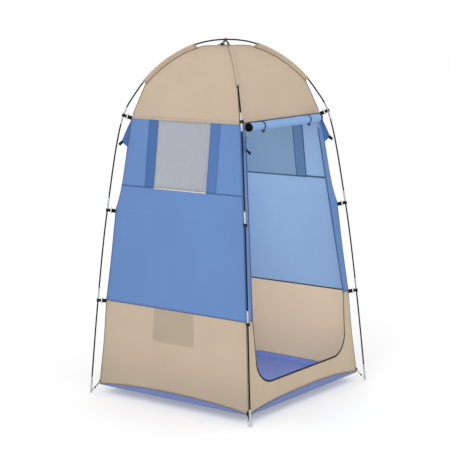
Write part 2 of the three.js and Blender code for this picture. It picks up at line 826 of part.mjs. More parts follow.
const meshHalf = meshHalfWidth - touchGap;
const meshLow = windowSillHeight + touchGap;
addNode('window_mesh_left', flatPanel(meshHalf, meshLow, wallTop), colours.mesh, wallTurns.left);
addNode('window_mesh_right', flatPanel(meshHalf, meshLow, wallTop), colours.mesh, wallTurns.right);

const coverHalf = meshHalfWidth + windowStripWidth;
const coverLow = windowSillHeight - coverOverlap;
const coverStep = fabricThickness + touchGap;

const closedCover = flatPanel(coverHalf, coverLow, wallTop, coverStep);
addNode('window_cover_closed', closedCover, colours.coverBlue, wallTurns.right);

function coverRoll() {
  const height = hemHeight - coverRollRadius - coverStep;
  const depth = cornerHalf(height) - halfFabric - touchGap - coverRollRadius;
  const roll = roundBar(coverRollRadius, 2 * coverHalf).rotateY(quarterTurn);
  return roll.translate(0, -depth, height);
}

addNode('window_cover_rolled', coverRoll(), colours.blue, wallTurns.left);

function pocket() {
  const heights = [seamLow - pocketHeight, seamLow - pocketHeight / 2, seamLow - touchGap];
  const bellies = [0, pocketBelly, pocketBelly];
  const widthShares = [-1, -0.8, 0, 0.8, 1];
  const rows = heights.map((height, i) => {
    return widthShares.map((share) => {
      const belly = Math.abs(share) === 1 ? 0 : bellies[i];
      return wallPoint(share * pocketHalfWidth, height).add(new THREE.Vector3(0, coverStep + belly, 0));
    });
  });
  return sheetSolid(rows, outwardOffset);
}

addNode('pocket', pocket(), colours.sand, wallTurns.left);

// Door: the zip's track runs down both sides and round the sill

const trackTopHalf = cornerHalf(trackTopHeight) - doorMarginTop;
const trackLowHalf = cornerHalf(lowSeamHeight) - doorMarginLow;
const trackLean = (trackLowHalf - trackTopHalf) / (trackTopHeight - lowSeamHeight);
const trackHalf = (height) => trackLowHalf - trackLean * (height - lowSeamHeight);

function trackDepth(height) {
  if (height <= lowSeamHeight) return cornerHalf(height);
  const share = (height - lowSeamHeight) / (trackTopHeight - lowSeamHeight);
  return lerp(cornerHalf(lowSeamHeight), cornerHalf(trackTopHeight), share);
}

function doorPoint(x, height) {
  return new THREE.Vector3(x, -trackDepth(height), height);
}

// The right half of the lower track, from the blue seam down to the middle of the sill
function lowerTrack() {
  const sideHalf = trackLowHalf - doorSideLean;
  const centreHeight = doorSillHeight + doorCornerRadius;
  const centreHalf = sideHalf - doorCornerRadius;
  const stations = [{ x: trackLowHalf, z: seamLow, ax: 1, az: 0 }];
  for (let i = 0; i <= arcStations; i += 1) {
    const turn = (quarterTurn * i) / arcStations;
    const [ax, az] = [Math.cos(turn), -Math.sin(turn)];
    stations.push({ x: centreHalf + doorCornerRadius * ax, z: centreHeight + doorCornerRadius * az, ax, az });
  }
  return stations;
}

function mirrored(stations) {
  const left = stations.map(({ x, z, ax, az }) => ({ x: -x, z, ax: -ax, az }));
  return [...stations, ...left.reverse()];
}

function zipTape() {
  const high = { x: trackTopHalf, z: trackTopHeight, ax: 1, az: 0 };
  const low = { x: trackLowHalf, z: lowSeamHeight, ax: 1, az: 0 };
  const stations = mirrored([high, low, ...lowerTrack().slice(1)]);
  const bead = zipBead / 2;
  const outline = [
    [-bead, -bead], [-bead, bead], [bead, bead], [bead, halfFabric],
    [zipTapeWidth, halfFabric], [zipTapeWidth, -halfFabric], [bead, -halfFabric], [bead, -bead],
  ].map(([a, n]) => new THREE.Vector2(a, n));
  const rings = stations.map(({ x, z, ax, az }) => outline.map(({ x: a, y: n }) => {
    return doorPoint(x + a * ax, z + a * az).add(new THREE.Vector3(0, -n, 0));
  }));
  return sweptSolid(rings, outline);
}

addNode('door_zip_tape', zipTape(), colours.zip);

function doorWallLower() {
  const edgeShift = zipTapeWidth + touchGap;
  const inner = lowerTrack().map(({ x, z, ax, az }) => [x + edgeShift * ax, z + edgeShift * az]);
  inner.push([0, doorSillHeight - edgeShift]);
  const rim = rimPlaces.slice(sideStations / 2).reverse().map((x) => [x, tubRim(x) + touchGap]);
  const sideCount = inner.length - rim.length;
  const outer = [];
  for (let i = 0; i < sideCount; i += 1) {
    const height = lerp(seamLow, rim[0][1], i / sideCount);
    outer.push([wallEdge(height), height]);
  }
  outer.push(...rim);
  const rows = [inner, outer].map((line) => {
    const right = line.map(([x, z]) => doorPoint(x, z));
    const left = line.slice(0, -1).map(([x, z]) => doorPoint(-x, z)).reverse();
    return [...right, ...left];
  });
  return sheetSolid(rows, outwardOffset);
}

addNode('door_wall_lower', doorWallLower(), colours.sand);

function doorStrip(sign) {
  const heights = [seamHigh, midBendHeight, trackTopHeight, wallTop];
  const rows = heights.map((height) => {
    const innerX = sign * (trackHalf(height) + zipTapeWidth + touchGap);
    const outerX = sign * wallEdge(height);
    return [doorPoint(innerX, height), wallPoint(outerX, height)];
  });
  return sheetSolid(rows, outwardOffset);
}

addNode('door_strip_left', doorStrip(-1), colours.blue);
addNode('door_strip_right', doorStrip(1), colours.blue);

// Zip sliders: a channel round the bead, with a pull that hangs in front

function sliderFrame(sign) {
  const top = doorPoint(sign * trackTopHalf, trackTopHeight);
  const bottom = doorPoint(sign * trackLowHalf, lowSeamHeight);
  const up = new THREE.Vector3().subVectors(top, bottom).normalize();
  const origin = top.clone().addScaledVector(up, -sliderLength / 2 - touchGap);
  const across = new THREE.Vector3(sign, 0, 0).addScaledVector(up, -sign * up.x).normalize();
  const side = new THREE.Vector3().crossVectors(up, across);
  return { origin, across, side, up, outwardSign: side.y < 0 ? 1 : -1 };
}

function zipSlider(sign) {
  const { origin, across, side, up, outwardSign } = sliderFrame(sign);
  const channelHalf = zipBead / 2 + runningGap;
  const slotHalf = halfFabric + runningGap;
  const bodyHalf = channelHalf + sliderWall;
  const left = -channelHalf - sliderWall;
  const right = left + sliderWidth;
  const outline = [
    [left, -bodyHalf], [right, -bodyHalf], [right, -slotHalf], [channelHalf, -slotHalf],
    [channelHalf, -channelHalf], [-channelHalf, -channelHalf], [-channelHalf, channelHalf],
    [channelHalf, channelHalf], [channelHalf, slotHalf], [right, slotHalf],
    [right, bodyHalf], [left, bodyHalf],
  ].map(([x, y]) => new THREE.Vector2(x, y));
  const options = { depth: sliderLength, bevelEnabled: false };
  const body = new THREE.ExtrudeGeometry(new THREE.Shape(outline), options);
  body.translate(0, 0, -sliderLength / 2);
  const bridgeDepth = pullThickness * 2;
  const bridgeY = outwardSign * (bodyHalf + bridgeDepth / 2 - halfFabric);
  const middle = (left + right) / 2;
  const bridge = block(pullThickness, bridgeDepth, sliderLength / 2).translate(middle, bridgeY, 0);
  const pullY = outwardSign * (bodyHalf + bridgeDepth - halfFabric);
  const pull = block(pullWidth, pullThickness, pullLength).translate(middle, pullY, -pullLength / 2);
  const pieces = [body, bridge, pull].map((piece) => placed(piece, origin, across, side, up));
  return join(...pieces);
}

addNode('zip_slider_left', zipSlider(-1), colours.steel);
addNode('zip_slider_right', zipSlider(1), colours.steel);

// Rolled door with its two ties; each tie ends in a cord and knot that carry a toggle

const rollHeight = hemHeight - doorRollRadius - doorTieThickness - touchGap;
const rollOut = doorRollRadius + halfFabric + touchGap;
const rollCentre = new THREE.Vector3(0, -cornerHalf(rollHeight) - rollOut, rollHeight);
const toggleDrop = degrees(toggleDropAngle);
const toggleDirection = new THREE.Vector3(0, -Math.cos(toggleDrop), -Math.sin(toggleDrop));
const tieOuterRadius = doorRollRadius + doorTieThickness;
const toggleDistance = tieOuterRadius + touchGap + toggleRadius;

function alongToggle(geometry, x, distance) {
  const across = new THREE.Vector3(1, 0, 0);
  const side = new THREE.Vector3().crossVectors(toggleDirection, across);
  const origin = rollCentre.clone().setX(x).addScaledVector(toggleDirection, distance);
  return placed(geometry, origin, across, side, toggleDirection);
}

function doorRoll() {
  const rollHalf = trackHalf(rollHeight) + zipTapeWidth - doorRollEndGap;
  const roll = roundBar(doorRollRadius, 2 * rollHalf, rollSides).rotateY(quarterTurn);
  roll.translate(0, rollCentre.y, rollCentre.z);
  const flapFoot = new THREE.Vector3(0, rollCentre.y + doorRollRadius - fabricThickness, rollHeight);
  const flapRows = [wallPoint(0, wallTop), flapFoot].map((point) => {
    return [-rollHalf, rollHalf].map((x) => point.clone().setX(x));
  });
  const flap = sheetSolid(flapRows, outwardOffset);
  const pieces = [roll, flap];
  for (const x of [-doorTieOffset, doorTieOffset]) {
    const band = roundBar(tieOuterRadius, doorTieWidth, rollSides).rotateY(quarterTurn);
    pieces.push(band.translate(x, rollCentre.y, rollCentre.z));
    const cordLength = 2 * toggleRadius + touchGap + knotRadius + doorTieThickness;
    const cord = roundBar(toggleCordRadius, cordLength, wireSides);
    pieces.push(alongToggle(cord, x, tieOuterRadius - doorTieThickness + cordLength / 2));
    const knot = new THREE.SphereGeometry(knotRadius, roundSides / 2 + 2, roundSides / 2);
    pieces.push(alongToggle(knot, x, toggleDistance + toggleRadius + touchGap + knotRadius));
  }
  return join(...pieces);
}

addNode('door_panel_rolled', doorRoll(), colours.blue);

function doorToggle(x) {
  const bar = roundBar(toggleRadius, toggleLength).rotateY(quarterTurn);
  const bore = roundBar(toggleCordRadius + runningGap, 2 * toggleRadius + 2 * cutOverrun, roundSides);
  return alongToggle(cut(bar, bore), x, toggleDistance);
}

addNode('door_toggle_left', doorToggle(-doorTieOffset), colours.plastic);
addNode('door_toggle_right', doorToggle(doorTieOffset), colours.plastic);

// Floor: the coated sheet turns up into a rim and sags to the ground between the corners

// One closed ring round the floor from the points along one side
function squareRing(sidePoints) {
  const axis = new THREE.Vector3(0, 0, 1);
  const turned = (side) => sidePoints.map((point) => point.clone().applyAxisAngle(axis, side * quarterTurn));
  return [0, 1, 2, 3].flatMap(turned);
}

function rimRing(offset) {
  return squareRing(rimStations.slice(0, -1).map(({ x, height }) => {
    const half = cornerHalf(height) + offset;
    return new THREE.Vector3((x * half) / cornerHalf(height), -half, height);
  }));
}

function flatRing(half, height) {
  return squareRing(sideShares.slice(0, -1).map((share) => new THREE.Vector3(share * half, -half, height)));
}

function floorTub() {
  const outer = [rimRing(halfFabric), flatRing(floorHalfSide + halfFabric, tubEdgeHeight)];
  const inner = [rimRing(-halfFabric), flatRing(floorHalfSide - halfFabric, tubEdgeHeight + fabricThickness)];
  floorSagInsets.forEach((inset, i) => {
    const height = floorSagShares[i] * tubEdgeHeight;
    outer.push(flatRing(floorHalfSide - inset, height));
    inner.push(flatRing(floorHalfSide - inset - halfFabric, height + fabricThickness));
  });
  const rings = [...outer.reverse(), ...inner];
  const triangles = [];
  for (let i = 0; i + 1 < rings.length; i += 1) triangles.push(...joinRings(rings[i], rings[i + 1]));
  const centres = [new THREE.Vector3(), new THREE.Vector3(0, 0, fabricThickness)];
  const [first, last] = [rings[0], rings[rings.length - 1]];
  first.forEach((point, i) => triangles.push([centres[0], first[(i + 1) % first.length], point]));
  last.forEach((point, i) => triangles.push([point, last[(i + 1) % last.length], centres[1]]));
  return closedGeometry(triangles);
}

addNode('floor_tub', floorTub(), colours.floorBlue);

// Tie over the roof: a cord loop round the crossing of the poles, with a tail through a cord lock

const tieTop = overallHeight - tieCordRadius;
const tieBottom = roofTopHeight + touchGap + tieCordRadius;
const tieHalfWidth = rodRadius * rootTwo + touchGap + 2 * tieCordRadius;
const tailHeight = roofTopHeight + touchGap + lockRadius;

function apexCord() {
  const bend = tieCordRadius * 2;
  const outline = [
    [tieFootHalfWidth, tieBottom + bend], [tieHalfWidth, tieTop - bend], [tieHalfWidth - bend, tieTop],
    [bend - tieHalfWidth, tieTop], [-tieHalfWidth, tieTop - bend], [-tieFootHalfWidth, tieBottom + bend],
    [bend - tieFootHalfWidth, tieBottom], [tieFootHalfWidth - bend, tieBottom],
  ].map(([x, z]) => new THREE.Vector3(x, 0, z));
  const normal = new THREE.Vector3(0, 1, 0);
  const section = circlePoints(tieCordRadius, wireSides);
  const rings = outline.map((point, i) => {
    const before = outline[(i + outline.length - 1) % outline.length];
    const after = outline[(i + 1) % outline.length];
    const tangent = new THREE.Vector3().subVectors(after, before).normalize();
    const side = new THREE.Vector3().crossVectors(tangent, normal);
    return section.map(({ x, y }) => point.clone().addScaledVector(side, x).addScaledVector(normal, y));
  });
  const loop = closedGeometry(rings.flatMap((ring, i) => joinRings(ring, rings[(i + 1) % rings.length])));
  const tail = roundBar(tieCordRadius, tieTailLength, wireSides).rotateY(quarterTurn);
  tail.translate(-tieFootHalfWidth - tieTailLength / 2, 0, tailHeight);
  const knot = new THREE.SphereGeometry(knotRadius, roundSides / 2 + 2, roundSides / 2);
  knot.translate(-tieFootHalfWidth - tieTailLength, 0, tailHeight);
  return join(loop, tail, knot);
}

addNode('apex_cord', apexCord(), colours.webbing);

const lockX = -tieFootHalfWidth - lockSeat;
const cordHoleRadius = tieCordRadius + runningGap;
const lockFace = -lockLength / 2;
const socketDepth = lockLength - lockWall;

// A round bar along Y between two places, at the lock's height
function lockBar(radius, fromY, toY) {
  return roundBar(radius, toY - fromY).rotateX(quarterTurn).translate(lockX, (fromY + toY) / 2, tailHeight);
}

function lockBody() {
  const body = lockBar(lockRadius, lockFace, -lockFace);
  const socket = lockBar(buttonRadius + runningGap, lockFace - cutOverrun, lockFace + socketDepth);
  const cordHole = roundBar(cordHoleRadius, 2 * lockRadius + 2 * cutOverrun, rodSides).rotateY(quarterTurn);
  return cut(body, socket, cordHole.translate(lockX, 0, tailHeight));
}

addNode('cord_lock_body', lockBody(), colours.plastic);

function lockButton() {
  const stemStart = lockFace - lockTravel - touchGap;
  const stem = lockBar(buttonRadius, stemStart, lockFace + socketDepth - lockTravel - touchGap);
  const cap = lockBar(buttonCapRadius, stemStart - buttonCapLength, stemStart);
  const slotLength = 2 * cordHoleRadius + lockTravel + touchGap;
  const slot = block(2 * buttonRadius + 2 * cutOverrun, slotLength, 2 * cordHoleRadius);
  slot.translate(lockX, cordHoleRadius - slotLength / 2, tailHeight);
  return cut(join(stem, cap), slot);
}

addNode('cord_lock_button', lockButton(), colours.plastic);

export default model;
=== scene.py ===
"""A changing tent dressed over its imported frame: cloth, poles, clips, zip, floor and stage."""

import functools
import math

import bmesh
import bpy
import numpy as np
from mathutils import Matrix, Vector


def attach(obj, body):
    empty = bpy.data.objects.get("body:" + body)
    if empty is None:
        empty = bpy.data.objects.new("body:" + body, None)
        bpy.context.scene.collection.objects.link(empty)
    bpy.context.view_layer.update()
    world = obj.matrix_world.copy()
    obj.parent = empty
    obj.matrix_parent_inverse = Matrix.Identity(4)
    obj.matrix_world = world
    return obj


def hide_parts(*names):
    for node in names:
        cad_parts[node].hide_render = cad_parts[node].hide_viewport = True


bl_info = {
    "name": "Changing Tent",
    "version": (1, 0, 0),
    "blender": (4, 5, 0),
    "location": "3D View > Sidebar > Tent",
    "description": "Dresses the frame of a changing tent in cloth, poles, clips, zip and floor",
    "category": "Object",
}

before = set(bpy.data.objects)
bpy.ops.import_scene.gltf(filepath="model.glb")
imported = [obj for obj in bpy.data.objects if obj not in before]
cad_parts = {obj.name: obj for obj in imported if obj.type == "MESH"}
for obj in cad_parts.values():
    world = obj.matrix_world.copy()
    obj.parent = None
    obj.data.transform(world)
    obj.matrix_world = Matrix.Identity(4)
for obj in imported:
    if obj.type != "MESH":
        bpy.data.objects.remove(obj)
for spare in ("Cube", "Light", "Camera"):
    if spare in bpy.data.objects:
        bpy.data.objects.remove(bpy.data.objects[spare])
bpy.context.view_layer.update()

ROOT_TWO = math.sqrt(2)
BODY = "tent"

# Main sizes of the tent, in metres
CORNER_HEIGHTS = (0.045, 0.512, 1.001, 1.495)
CORNER_HALVES = (0.503, 0.469, 0.425, 0.356)
TUB_EDGE, LOW_SEAM, MID_BEND, HEM = CORNER_HEIGHTS
FLOOR_HALF, LOW_HALF, MID_HALF, HEM_HALF = CORNER_HALVES
OVERALL_HEIGHT = 1.9
TOUCH = 0.0003
SKIN = 0.0006

# Poles
ROD_RADIUS = 0.00395
ROD_TIP = 0.0008
ROD_STEP = 0.012
FERRULE_RADIUS = 0.0052
FERRULE_PROFILE = ((0.0006, 0), (0.0016, 0), (0.0024, -0.0003), (0.0068, -0.0003), (0.0074, -0.0009),
                   (0.0082, -0.0009), (0.0088, -0.0003))
CLIP_REACH = 0.046
FOOT_REACH = 0.05
TOP_CLIP = HEM + 0.009
FOOT_LIFT = 0.02
FOOT_FERRULE = 0.07
LEG_FERRULE = 0.06
TOP_FERRULE = 0.095
ARCH_RADIUS_SHARES = (0.885, 0.727, 0.52, 0.273)
ARCH_RISE_SHARES = (0.286, 0.56, 0.789, 0.948)

# Feet and guy tabs
PIN_BALL = 0.005
LINK_WIRE = 0.0016
LINK_WIDTH = 0.019
STRAP_OUT = 0.0045
STRAP_FOLD = 0.0034
GUY_REACH = 0.034

# Tie over the roof
TIE_RADIUS = 0.0015
TIE_DROP = 0.018
TIE_FOOT_HALF = 0.014
TIE_TAIL = 0.052
KNOT_RADIUS = 0.003
LOCK_RADIUS = 0.006
LOCK_LENGTH = 0.013
LOCK_SEAT = 0.022
LOCK_TRAVEL = 0.003

# Roof
POLE_APEX = OVERALL_HEIGHT - 2 * TIE_RADIUS - TOUCH - ROD_RADIUS
UNDER_DROP = 2 * ROD_RADIUS + TOUCH
ROOF_TOP = POLE_APEX - UNDER_DROP - ROD_RADIUS - TIE_DROP
ROOF_POWER = 1.8
EAVE_RISE = 0.17
RIDGE_LIFTS = {"over": 0.013, "under": 0.006}
SLEEVE_RADIUS = 0.0062
SLEEVE_WAIST = 0.0024
SLEEVE_REACHES = (0.44, 0.165)

# Clips
RING_WIRE = 0.00125
RING_HEIGHT = 0.03
RING_WIDTH = 0.01
TAB_HEIGHT = 0.02
WEBBING = 0.0013
HOOK_HEIGHT = 0.016
HOOK_THICKNESS = 0.003
HOOK_EYE = 0.0034
HOOK_EYE_TO_ROD = 0.01
HOOK_PLAY = 0.0004
HOOK_RIB = 0.0009
HOOK_TIP = math.radians(24)
HOOK_SHANK = math.radians(14)

# Walls and windows
SEAM_EDGE = 0.0014
SEAM_OUT = 0.0006
STITCH_OUT = 0.0004
DRAW_SHARES = (0.4, 0.2, 1)
DRAW_POWERS = (1, 1, 0.55)
BEND_EASE = 0.05
BEND_FOLD = 0.013
RIM_HEIGHT = TUB_EDGE + 0.008
RIM_ARCHES = {"door": 0.03, "right": 0.018, "back": 0.03, "left": 0.025}
RIM_SKEWS = {"door": 0.35, "right": 0, "back": 0, "left": 0}
FLOOR_SAG_INSETS = (0, 0.17, 0.32)
FLOOR_SAG_SHARES = (1, 0.42, 0)
FLOOR_RISE = 0.0006
MESH_HALF = 0.173
STRIP_WIDTH = 0.063
SILL = 1.135
COVER_LOW = SILL - 0.004
COVER_RADIUS = 0.013
POCKET_HALF = 0.133
POCKET_HEIGHT = 0.178
POCKET_BELLY = 0.018
# Height up to which the cloth grows darker towards the ground
DARKENING_TOP = 0.34

# Door
TRACK_TOP = HEM - 0.055
TRACK_INSETS = {"top": 0.046, "low": 0.054}
DOOR_SILL = 0.18
DOOR_CORNER = 0.12
SIDE_LEAN = 0.01
ZIP_EDGE = 0.0035
TAPE_WIDTH = 0.01
ROLL_RADIUS = 0.022
TIE_OFFSET = 0.205
TIE_THICKNESS = 0.0014
BAND_THICKNESS = 0.0009
TOGGLE_RADIUS = 0.004
TOGGLE_CORD = 0.0009
TOGGLE_LENGTH = 0.026
TOGGLE_DROP = math.radians(72)
TOGGLE_WAIST = ((-1, 0.55), (-0.99, 0.72), (-0.93, 0.9), (-0.8, 1), (-0.5, 1), (-0.18, 0.9), (0, 0.86))
SLIDER_PLATE = 0.0012

SIDES = {"door": 0, "left": -math.pi / 2, "back": math.pi, "right": math.pi / 2}
SIDES_ROUND = ("door", "right", "back", "left")
HANDS = {"left": -1, "right": 1}
CORNERS = {"front_left": (-1, -1), "front_right": (1, -1), "back_left": (-1, 1), "back_right": (1, 1)}
CLIP_HEIGHTS = {"low": LOW_SEAM, "mid": MID_BEND, "top": TOP_CLIP}
GUY_LEANS = {"front_left": 0.85, "front_right": 0.1, "back_left": -0.1, "back_right": 0.2}
GRIP_RADII = {"low": ROD_RADIUS, "mid": ROD_RADIUS, "top": FERRULE_RADIUS}

# Stage: the camera's aim, its turn, rise and roll in degrees, its distance and its lens in millimetres
CAMERA_AIM = (0.189, 0.165, 0.857)
CAMERA_TURN = -52.42
CAMERA_RISE = 9.37
CAMERA_ROLL = -0.667
CAMERA_DISTANCE = 7.944
CAMERA_LENS = 113.94
STAGE_HALF = 30


def sizes():
    return bpy.context.scene.tent_cloth


# Lines and points

def smooth(share):
    share = np.clip(share, 0, 1)
    return share * share * (3 - 2 * share)


def unit(vectors):
    return vectors / np.linalg.norm(vectors, axis=-1, keepdims=True)


def row(x, y, z):
    """Points from lists of their places, or from one number where all share it."""
    return np.stack(np.broadcast_arrays(x, y, z), axis=-1)


def reaches(points, axis=0):
    """How far along a line each of its points lies."""
    steps = np.linalg.norm(np.diff(points, axis=axis), axis=-1)
    if steps.ndim > 1:
        steps = steps.mean(axis=1 - axis)
    return np.concatenate([[0], np.cumsum(steps)])


def joined_spans(*spans):
    """One run of places from spans of (start, end, count) that share their ends."""
    return np.concatenate([np.linspace(*span)[:-1] for span in spans[:-1]] + [np.linspace(*spans[-1])])


def arc(centre, radius, start, end, count):
    turns = np.linspace(start, end, count)
    return [(centre[0] + radius * math.cos(t), centre[1] + radius * math.sin(t)) for t in turns]


def spline(points, count):
    """A smooth line through all points but the first and the last, with a count of steps between two."""
    line = []
    for p0, p1, p2, p3 in zip(points, points[1:], points[2:], points[3:]):
        d0, d1, d2 = (np.linalg.norm(b - a) ** 0.5 for a, b in ((p0, p1), (p1, p2), (p2, p3)))
        t1 = ((p1 - p0) / d0 - (p2 - p0) / (d0 + d1) + (p2 - p1) / d1) * d1
        t2 = ((p2 - p1) / d1 - (p3 - p1) / (d1 + d2) + (p3 - p2) / d2) * d1
        for w in np.linspace(0, 1, count, endpoint=False):
            line.append(p1 + t1 * w + (-3 * p1 + 3 * p2 - 2 * t1 - t2) * w ** 2
                        + (2 * p1 - 2 * p2 + t1 + t2) * w ** 3)
    return np.array(line + [points[-2]])


def evenly(points, count):
    """The same closed line with its points evenly spaced."""
    points = np.asarray(points, float)
    reach = reaches(points)
    places = np.linspace(0, reach[-1], count, endpoint=False)
    return np.stack([np.interp(places, reach, points[:, k]) for k in range(3)], axis=-1)


# The tent's surfaces as functions of a place on one side and a height

def corner_half(z):
    return np.interp(z, CORNER_HEIGHTS, CORNER_HALVES)


def smooth_half(z):
    z = np.asarray(z, float)
    near = corner_half(np.clip(z - BEND_EASE, TUB_EDGE, HEM)) + corner_half(np.clip(z + BEND_EASE, TUB_EDGE, HEM))
    lost = np.clip((TUB_EDGE + BEND_EASE - z) / BEND_EASE, 0, 1) + np.clip((z - HEM + BEND_EASE) / BEND_EASE, 0, 1)
    eased = (near + 2 * corner_half(z)) / 4
    return eased * (1 - lost) + corner_half(z) * lost


def seam_draw(z):
    """How far a corner seam draws in between two of its clips."""
    drawn = 0
    for low, high, share, power in zip(CORNER_HEIGHTS, CORNER_HEIGHTS[1:], DRAW_SHARES, DRAW_POWERS):
        rise = np.clip((np.asarray(z, float) - low) / (high - low), 0, 1)
        drawn = drawn + share * np.sin(math.pi * rise ** power) ** 2
    return sizes().seam_draw * drawn


def wall_edge(z):
    return corner_half(z) - seam_draw(z) - SEAM_EDGE


def tub_rim(side, x):
    """The height of the seam between a lower wall and the floor, which arches up between the corners."""
    share = np.clip(np.asarray(x, float) / corner_half(RIM_HEIGHT), -1, 1)
    arch = RIM_ARCHES[side] * (1 - share ** 2) * (1 + RIM_SKEWS[side] * share)
    return RIM_HEIGHT - 0.0055 * share ** 8 + arch


def track_half(z):
    top = corner_half(TRACK_TOP) - TRACK_INSETS["top"]
    low = LOW_HALF - TRACK_INSETS["low"]
    return low - (low - top) * (z - LOW_SEAM) / (TRACK_TOP - LOW_SEAM)


def track_depth(z):
    share = (z - LOW_SEAM) / (TRACK_TOP - LOW_SEAM)
    straight = LOW_HALF + (corner_half(TRACK_TOP) - LOW_HALF) * share
    return np.where(z > LOW_SEAM, straight, corner_half(z))


def slack(side, x, z):
    """Soft hollows and swells of one side's cloth, held flat along its seams."""
    draw = np.random.RandomState(11 + list(SIDES).index(side))
    share = np.clip(x / corner_half(z), -1, 1)
    rise = np.clip((z - RIM_HEIGHT) / (HEM - RIM_HEIGHT), 0, 1)
    held = (1 - share ** 2) * np.minimum(1, 6 * rise) * np.minimum(1, 6 * (1 - rise))
    total = np.zeros_like(share)
    for _ in range(6):
        across, along = draw.uniform(0.6, 2.4), draw.uniform(1.5, 7.5)
        lean = draw.uniform(-1.5, 1.5)
        total += np.sin(math.pi * across * share + along * z + lean * share * z + draw.uniform(0, 6.3)) / 3
    return sizes().slack * held * total


def clip_folds(x, z):
    """Faint folds that fan out from the middle and low clips."""
    total = np.zeros(np.broadcast(x, z).shape)
    for height, half, depth in ((MID_BEND, MID_HALF, 1.0), (LOW_SEAM, LOW_HALF, 0.6)):
        for sign in (-1, 1):
            reach = np.hypot(half - sign * x, z - height)
            turn = np.arctan2(z - height, half - sign * x)
            fade = np.exp(-reach / 0.13) * np.clip(reach / 0.03, 0, 1)
            total += depth * fade * np.cos(9 * turn + 0.4) * (sign * x > 0)
    return sizes().clip_fold * total


def pucker(along, distance, seed):
    """Small gathers beside a line of stitches."""
    wave = np.sin(along * 2 * math.pi / 0.031 + seed) + 0.6 * np.sin(along * 2 * math.pi / 0.019 + 2 * seed)
    return sizes().pucker * wave * np.exp(-(distance / 0.014) ** 2)


def wall_depth(side, x, z):
    """How far one side's cloth lies from the middle of the tent."""
    x, z = np.broadcast_arrays(np.asarray(x, float), np.asarray(z, float))
    half = corner_half(z)
    share = np.clip(np.abs(x) / half, 0, 1)
    near_corner = share ** 6
    depth = smooth_half(z) * (1 - share ** 3) + half * share ** 3 - seam_draw(z) * near_corner
    if side == "door":
        start = track_half(z)
        reach = np.clip((np.abs(x) - start) / (wall_edge(z) - start), 0, 1)
        strip = track_depth(z) * (1 - reach) + (half - seam_draw(z) * near_corner) * reach
        return np.where(z > LOW_SEAM, strip, depth) + 0.3 * slack(side, x, z)
    flank = np.where(z > MID_BEND, 1, 2.4) * BEND_FOLD
    taut = np.exp(-((z - MID_BEND) / flank) ** 2) * (1 - share ** 8)
    depth = depth + slack(side, x, z) + clip_folds(x, z) + sizes().bend_fold * taut
    return depth + pucker(x, z - LOW_SEAM, 1.3) + pucker(x, z - SILL, 4.1) + pucker(x, z - HEM, 2.2)


def turned(side, points):
    """Points that were laid out for the door's side, turned to any side."""
    turn = SIDES[side]
    x, y, z = np.moveaxis(np.asarray(points, float), -1, 0)
    return row(x * math.cos(turn) - y * math.sin(turn), x * math.sin(turn) + y * math.cos(turn), z)


def on_wall(side, x, out, z):
    """Points of one side at a place, a height and a distance out from its cloth."""
    return turned(side, row(x, -(wall_depth(side, x, z) + out), z))


def around(place):
    """A ring of points round the tent, from a function that gives the x, y and z of one side."""
    return np.concatenate([turned(side, row(*place(side))) for side in SIDES_ROUND])


def roof_half(z):
    """Half the roof's width: straight up to the sleeves' lower ends, then round."""
    share = np.clip((np.asarray(z, float) - HEM) / (ROOF_TOP - HEM), 0, 1)
    eave = EAVE_RISE / (ROOF_TOP - HEM)
    curve = (1 - np.maximum(share, eave) ** ROOF_POWER) ** (1 / ROOF_POWER)
    width = np.where(share < eave, 1 - (1 - curve) * share / eave, curve)
    knee = (1 - share ** ROOF_POWER) ** (1 / ROOF_POWER) - width
    return HEM_HALF * (width + 0.06 * knee)


def roof_heights(low, turns):
    """Heights up the roof's curve, from a low edge, at shares of a quarter turn."""
    return low + (ROOF_TOP - low) * np.sin(turns * math.pi / 2) ** (2 / ROOF_POWER)


def ridge_lift(half, pole):
    """How far a pole's sleeves pull the roof's ridge up, at a half width of the roof."""
    share = np.asarray(half, float) / HEM_HALF
    return RIDGE_LIFTS[pole] * smooth((share - 0.05) / 0.22) * smooth((0.8 - share) / 0.42)


# Mesh making

def in_scene(name, data):
    thing = bpy.data.objects.new(name, data)
    bpy.context.collection.objects.link(thing)
    return thing


def finish_piece(thing, replaced=(), body=BODY):
    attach(thing, body)
    if replaced:
        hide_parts(*replaced)
    return thing


def declare(thing):
    return thing


def make_object(name, points, faces, finishes, indices=None, rounded=True, uv=None):
    mesh = bpy.data.meshes.new(name)
    mesh.from_pydata([tuple(p) for p in points], [], faces)
    for finish in finishes:
        mesh.materials.append(look(finish))
    mesh.polygons.foreach_set("use_smooth", [rounded] * len(faces))
    if indices is not None:
        mesh.polygons.foreach_set("material_index", indices)
    if uv is not None:
        layer = mesh.uv_layers.new(name="cloth")
        layer.data.foreach_set("uv", np.asarray(uv, float)[[v for face in faces for v in face]].ravel())
    mesh.update()
    return in_scene(name, mesh)


def thicken(thing, thickness=SKIN, inner=1):
    """Gives a sheet its thickness. Its inner face has the look with that number."""
    skin = thing.modifiers.new("skin", "SOLIDIFY")
    skin.thickness = thickness
    skin.offset = 0
    skin.material_offset = inner
    skin.use_quality_normals = True
    return thing


def settle(thing):
    """Turns a piece's modifiers into plain mesh."""
    graph = bpy.context.evaluated_depsgraph_get()
    graph.update()
    mesh = bpy.data.meshes.new_from_object(thing.evaluated_get(graph), depsgraph=graph)
    thing.modifiers.clear()
    thing.data = mesh
    return thing


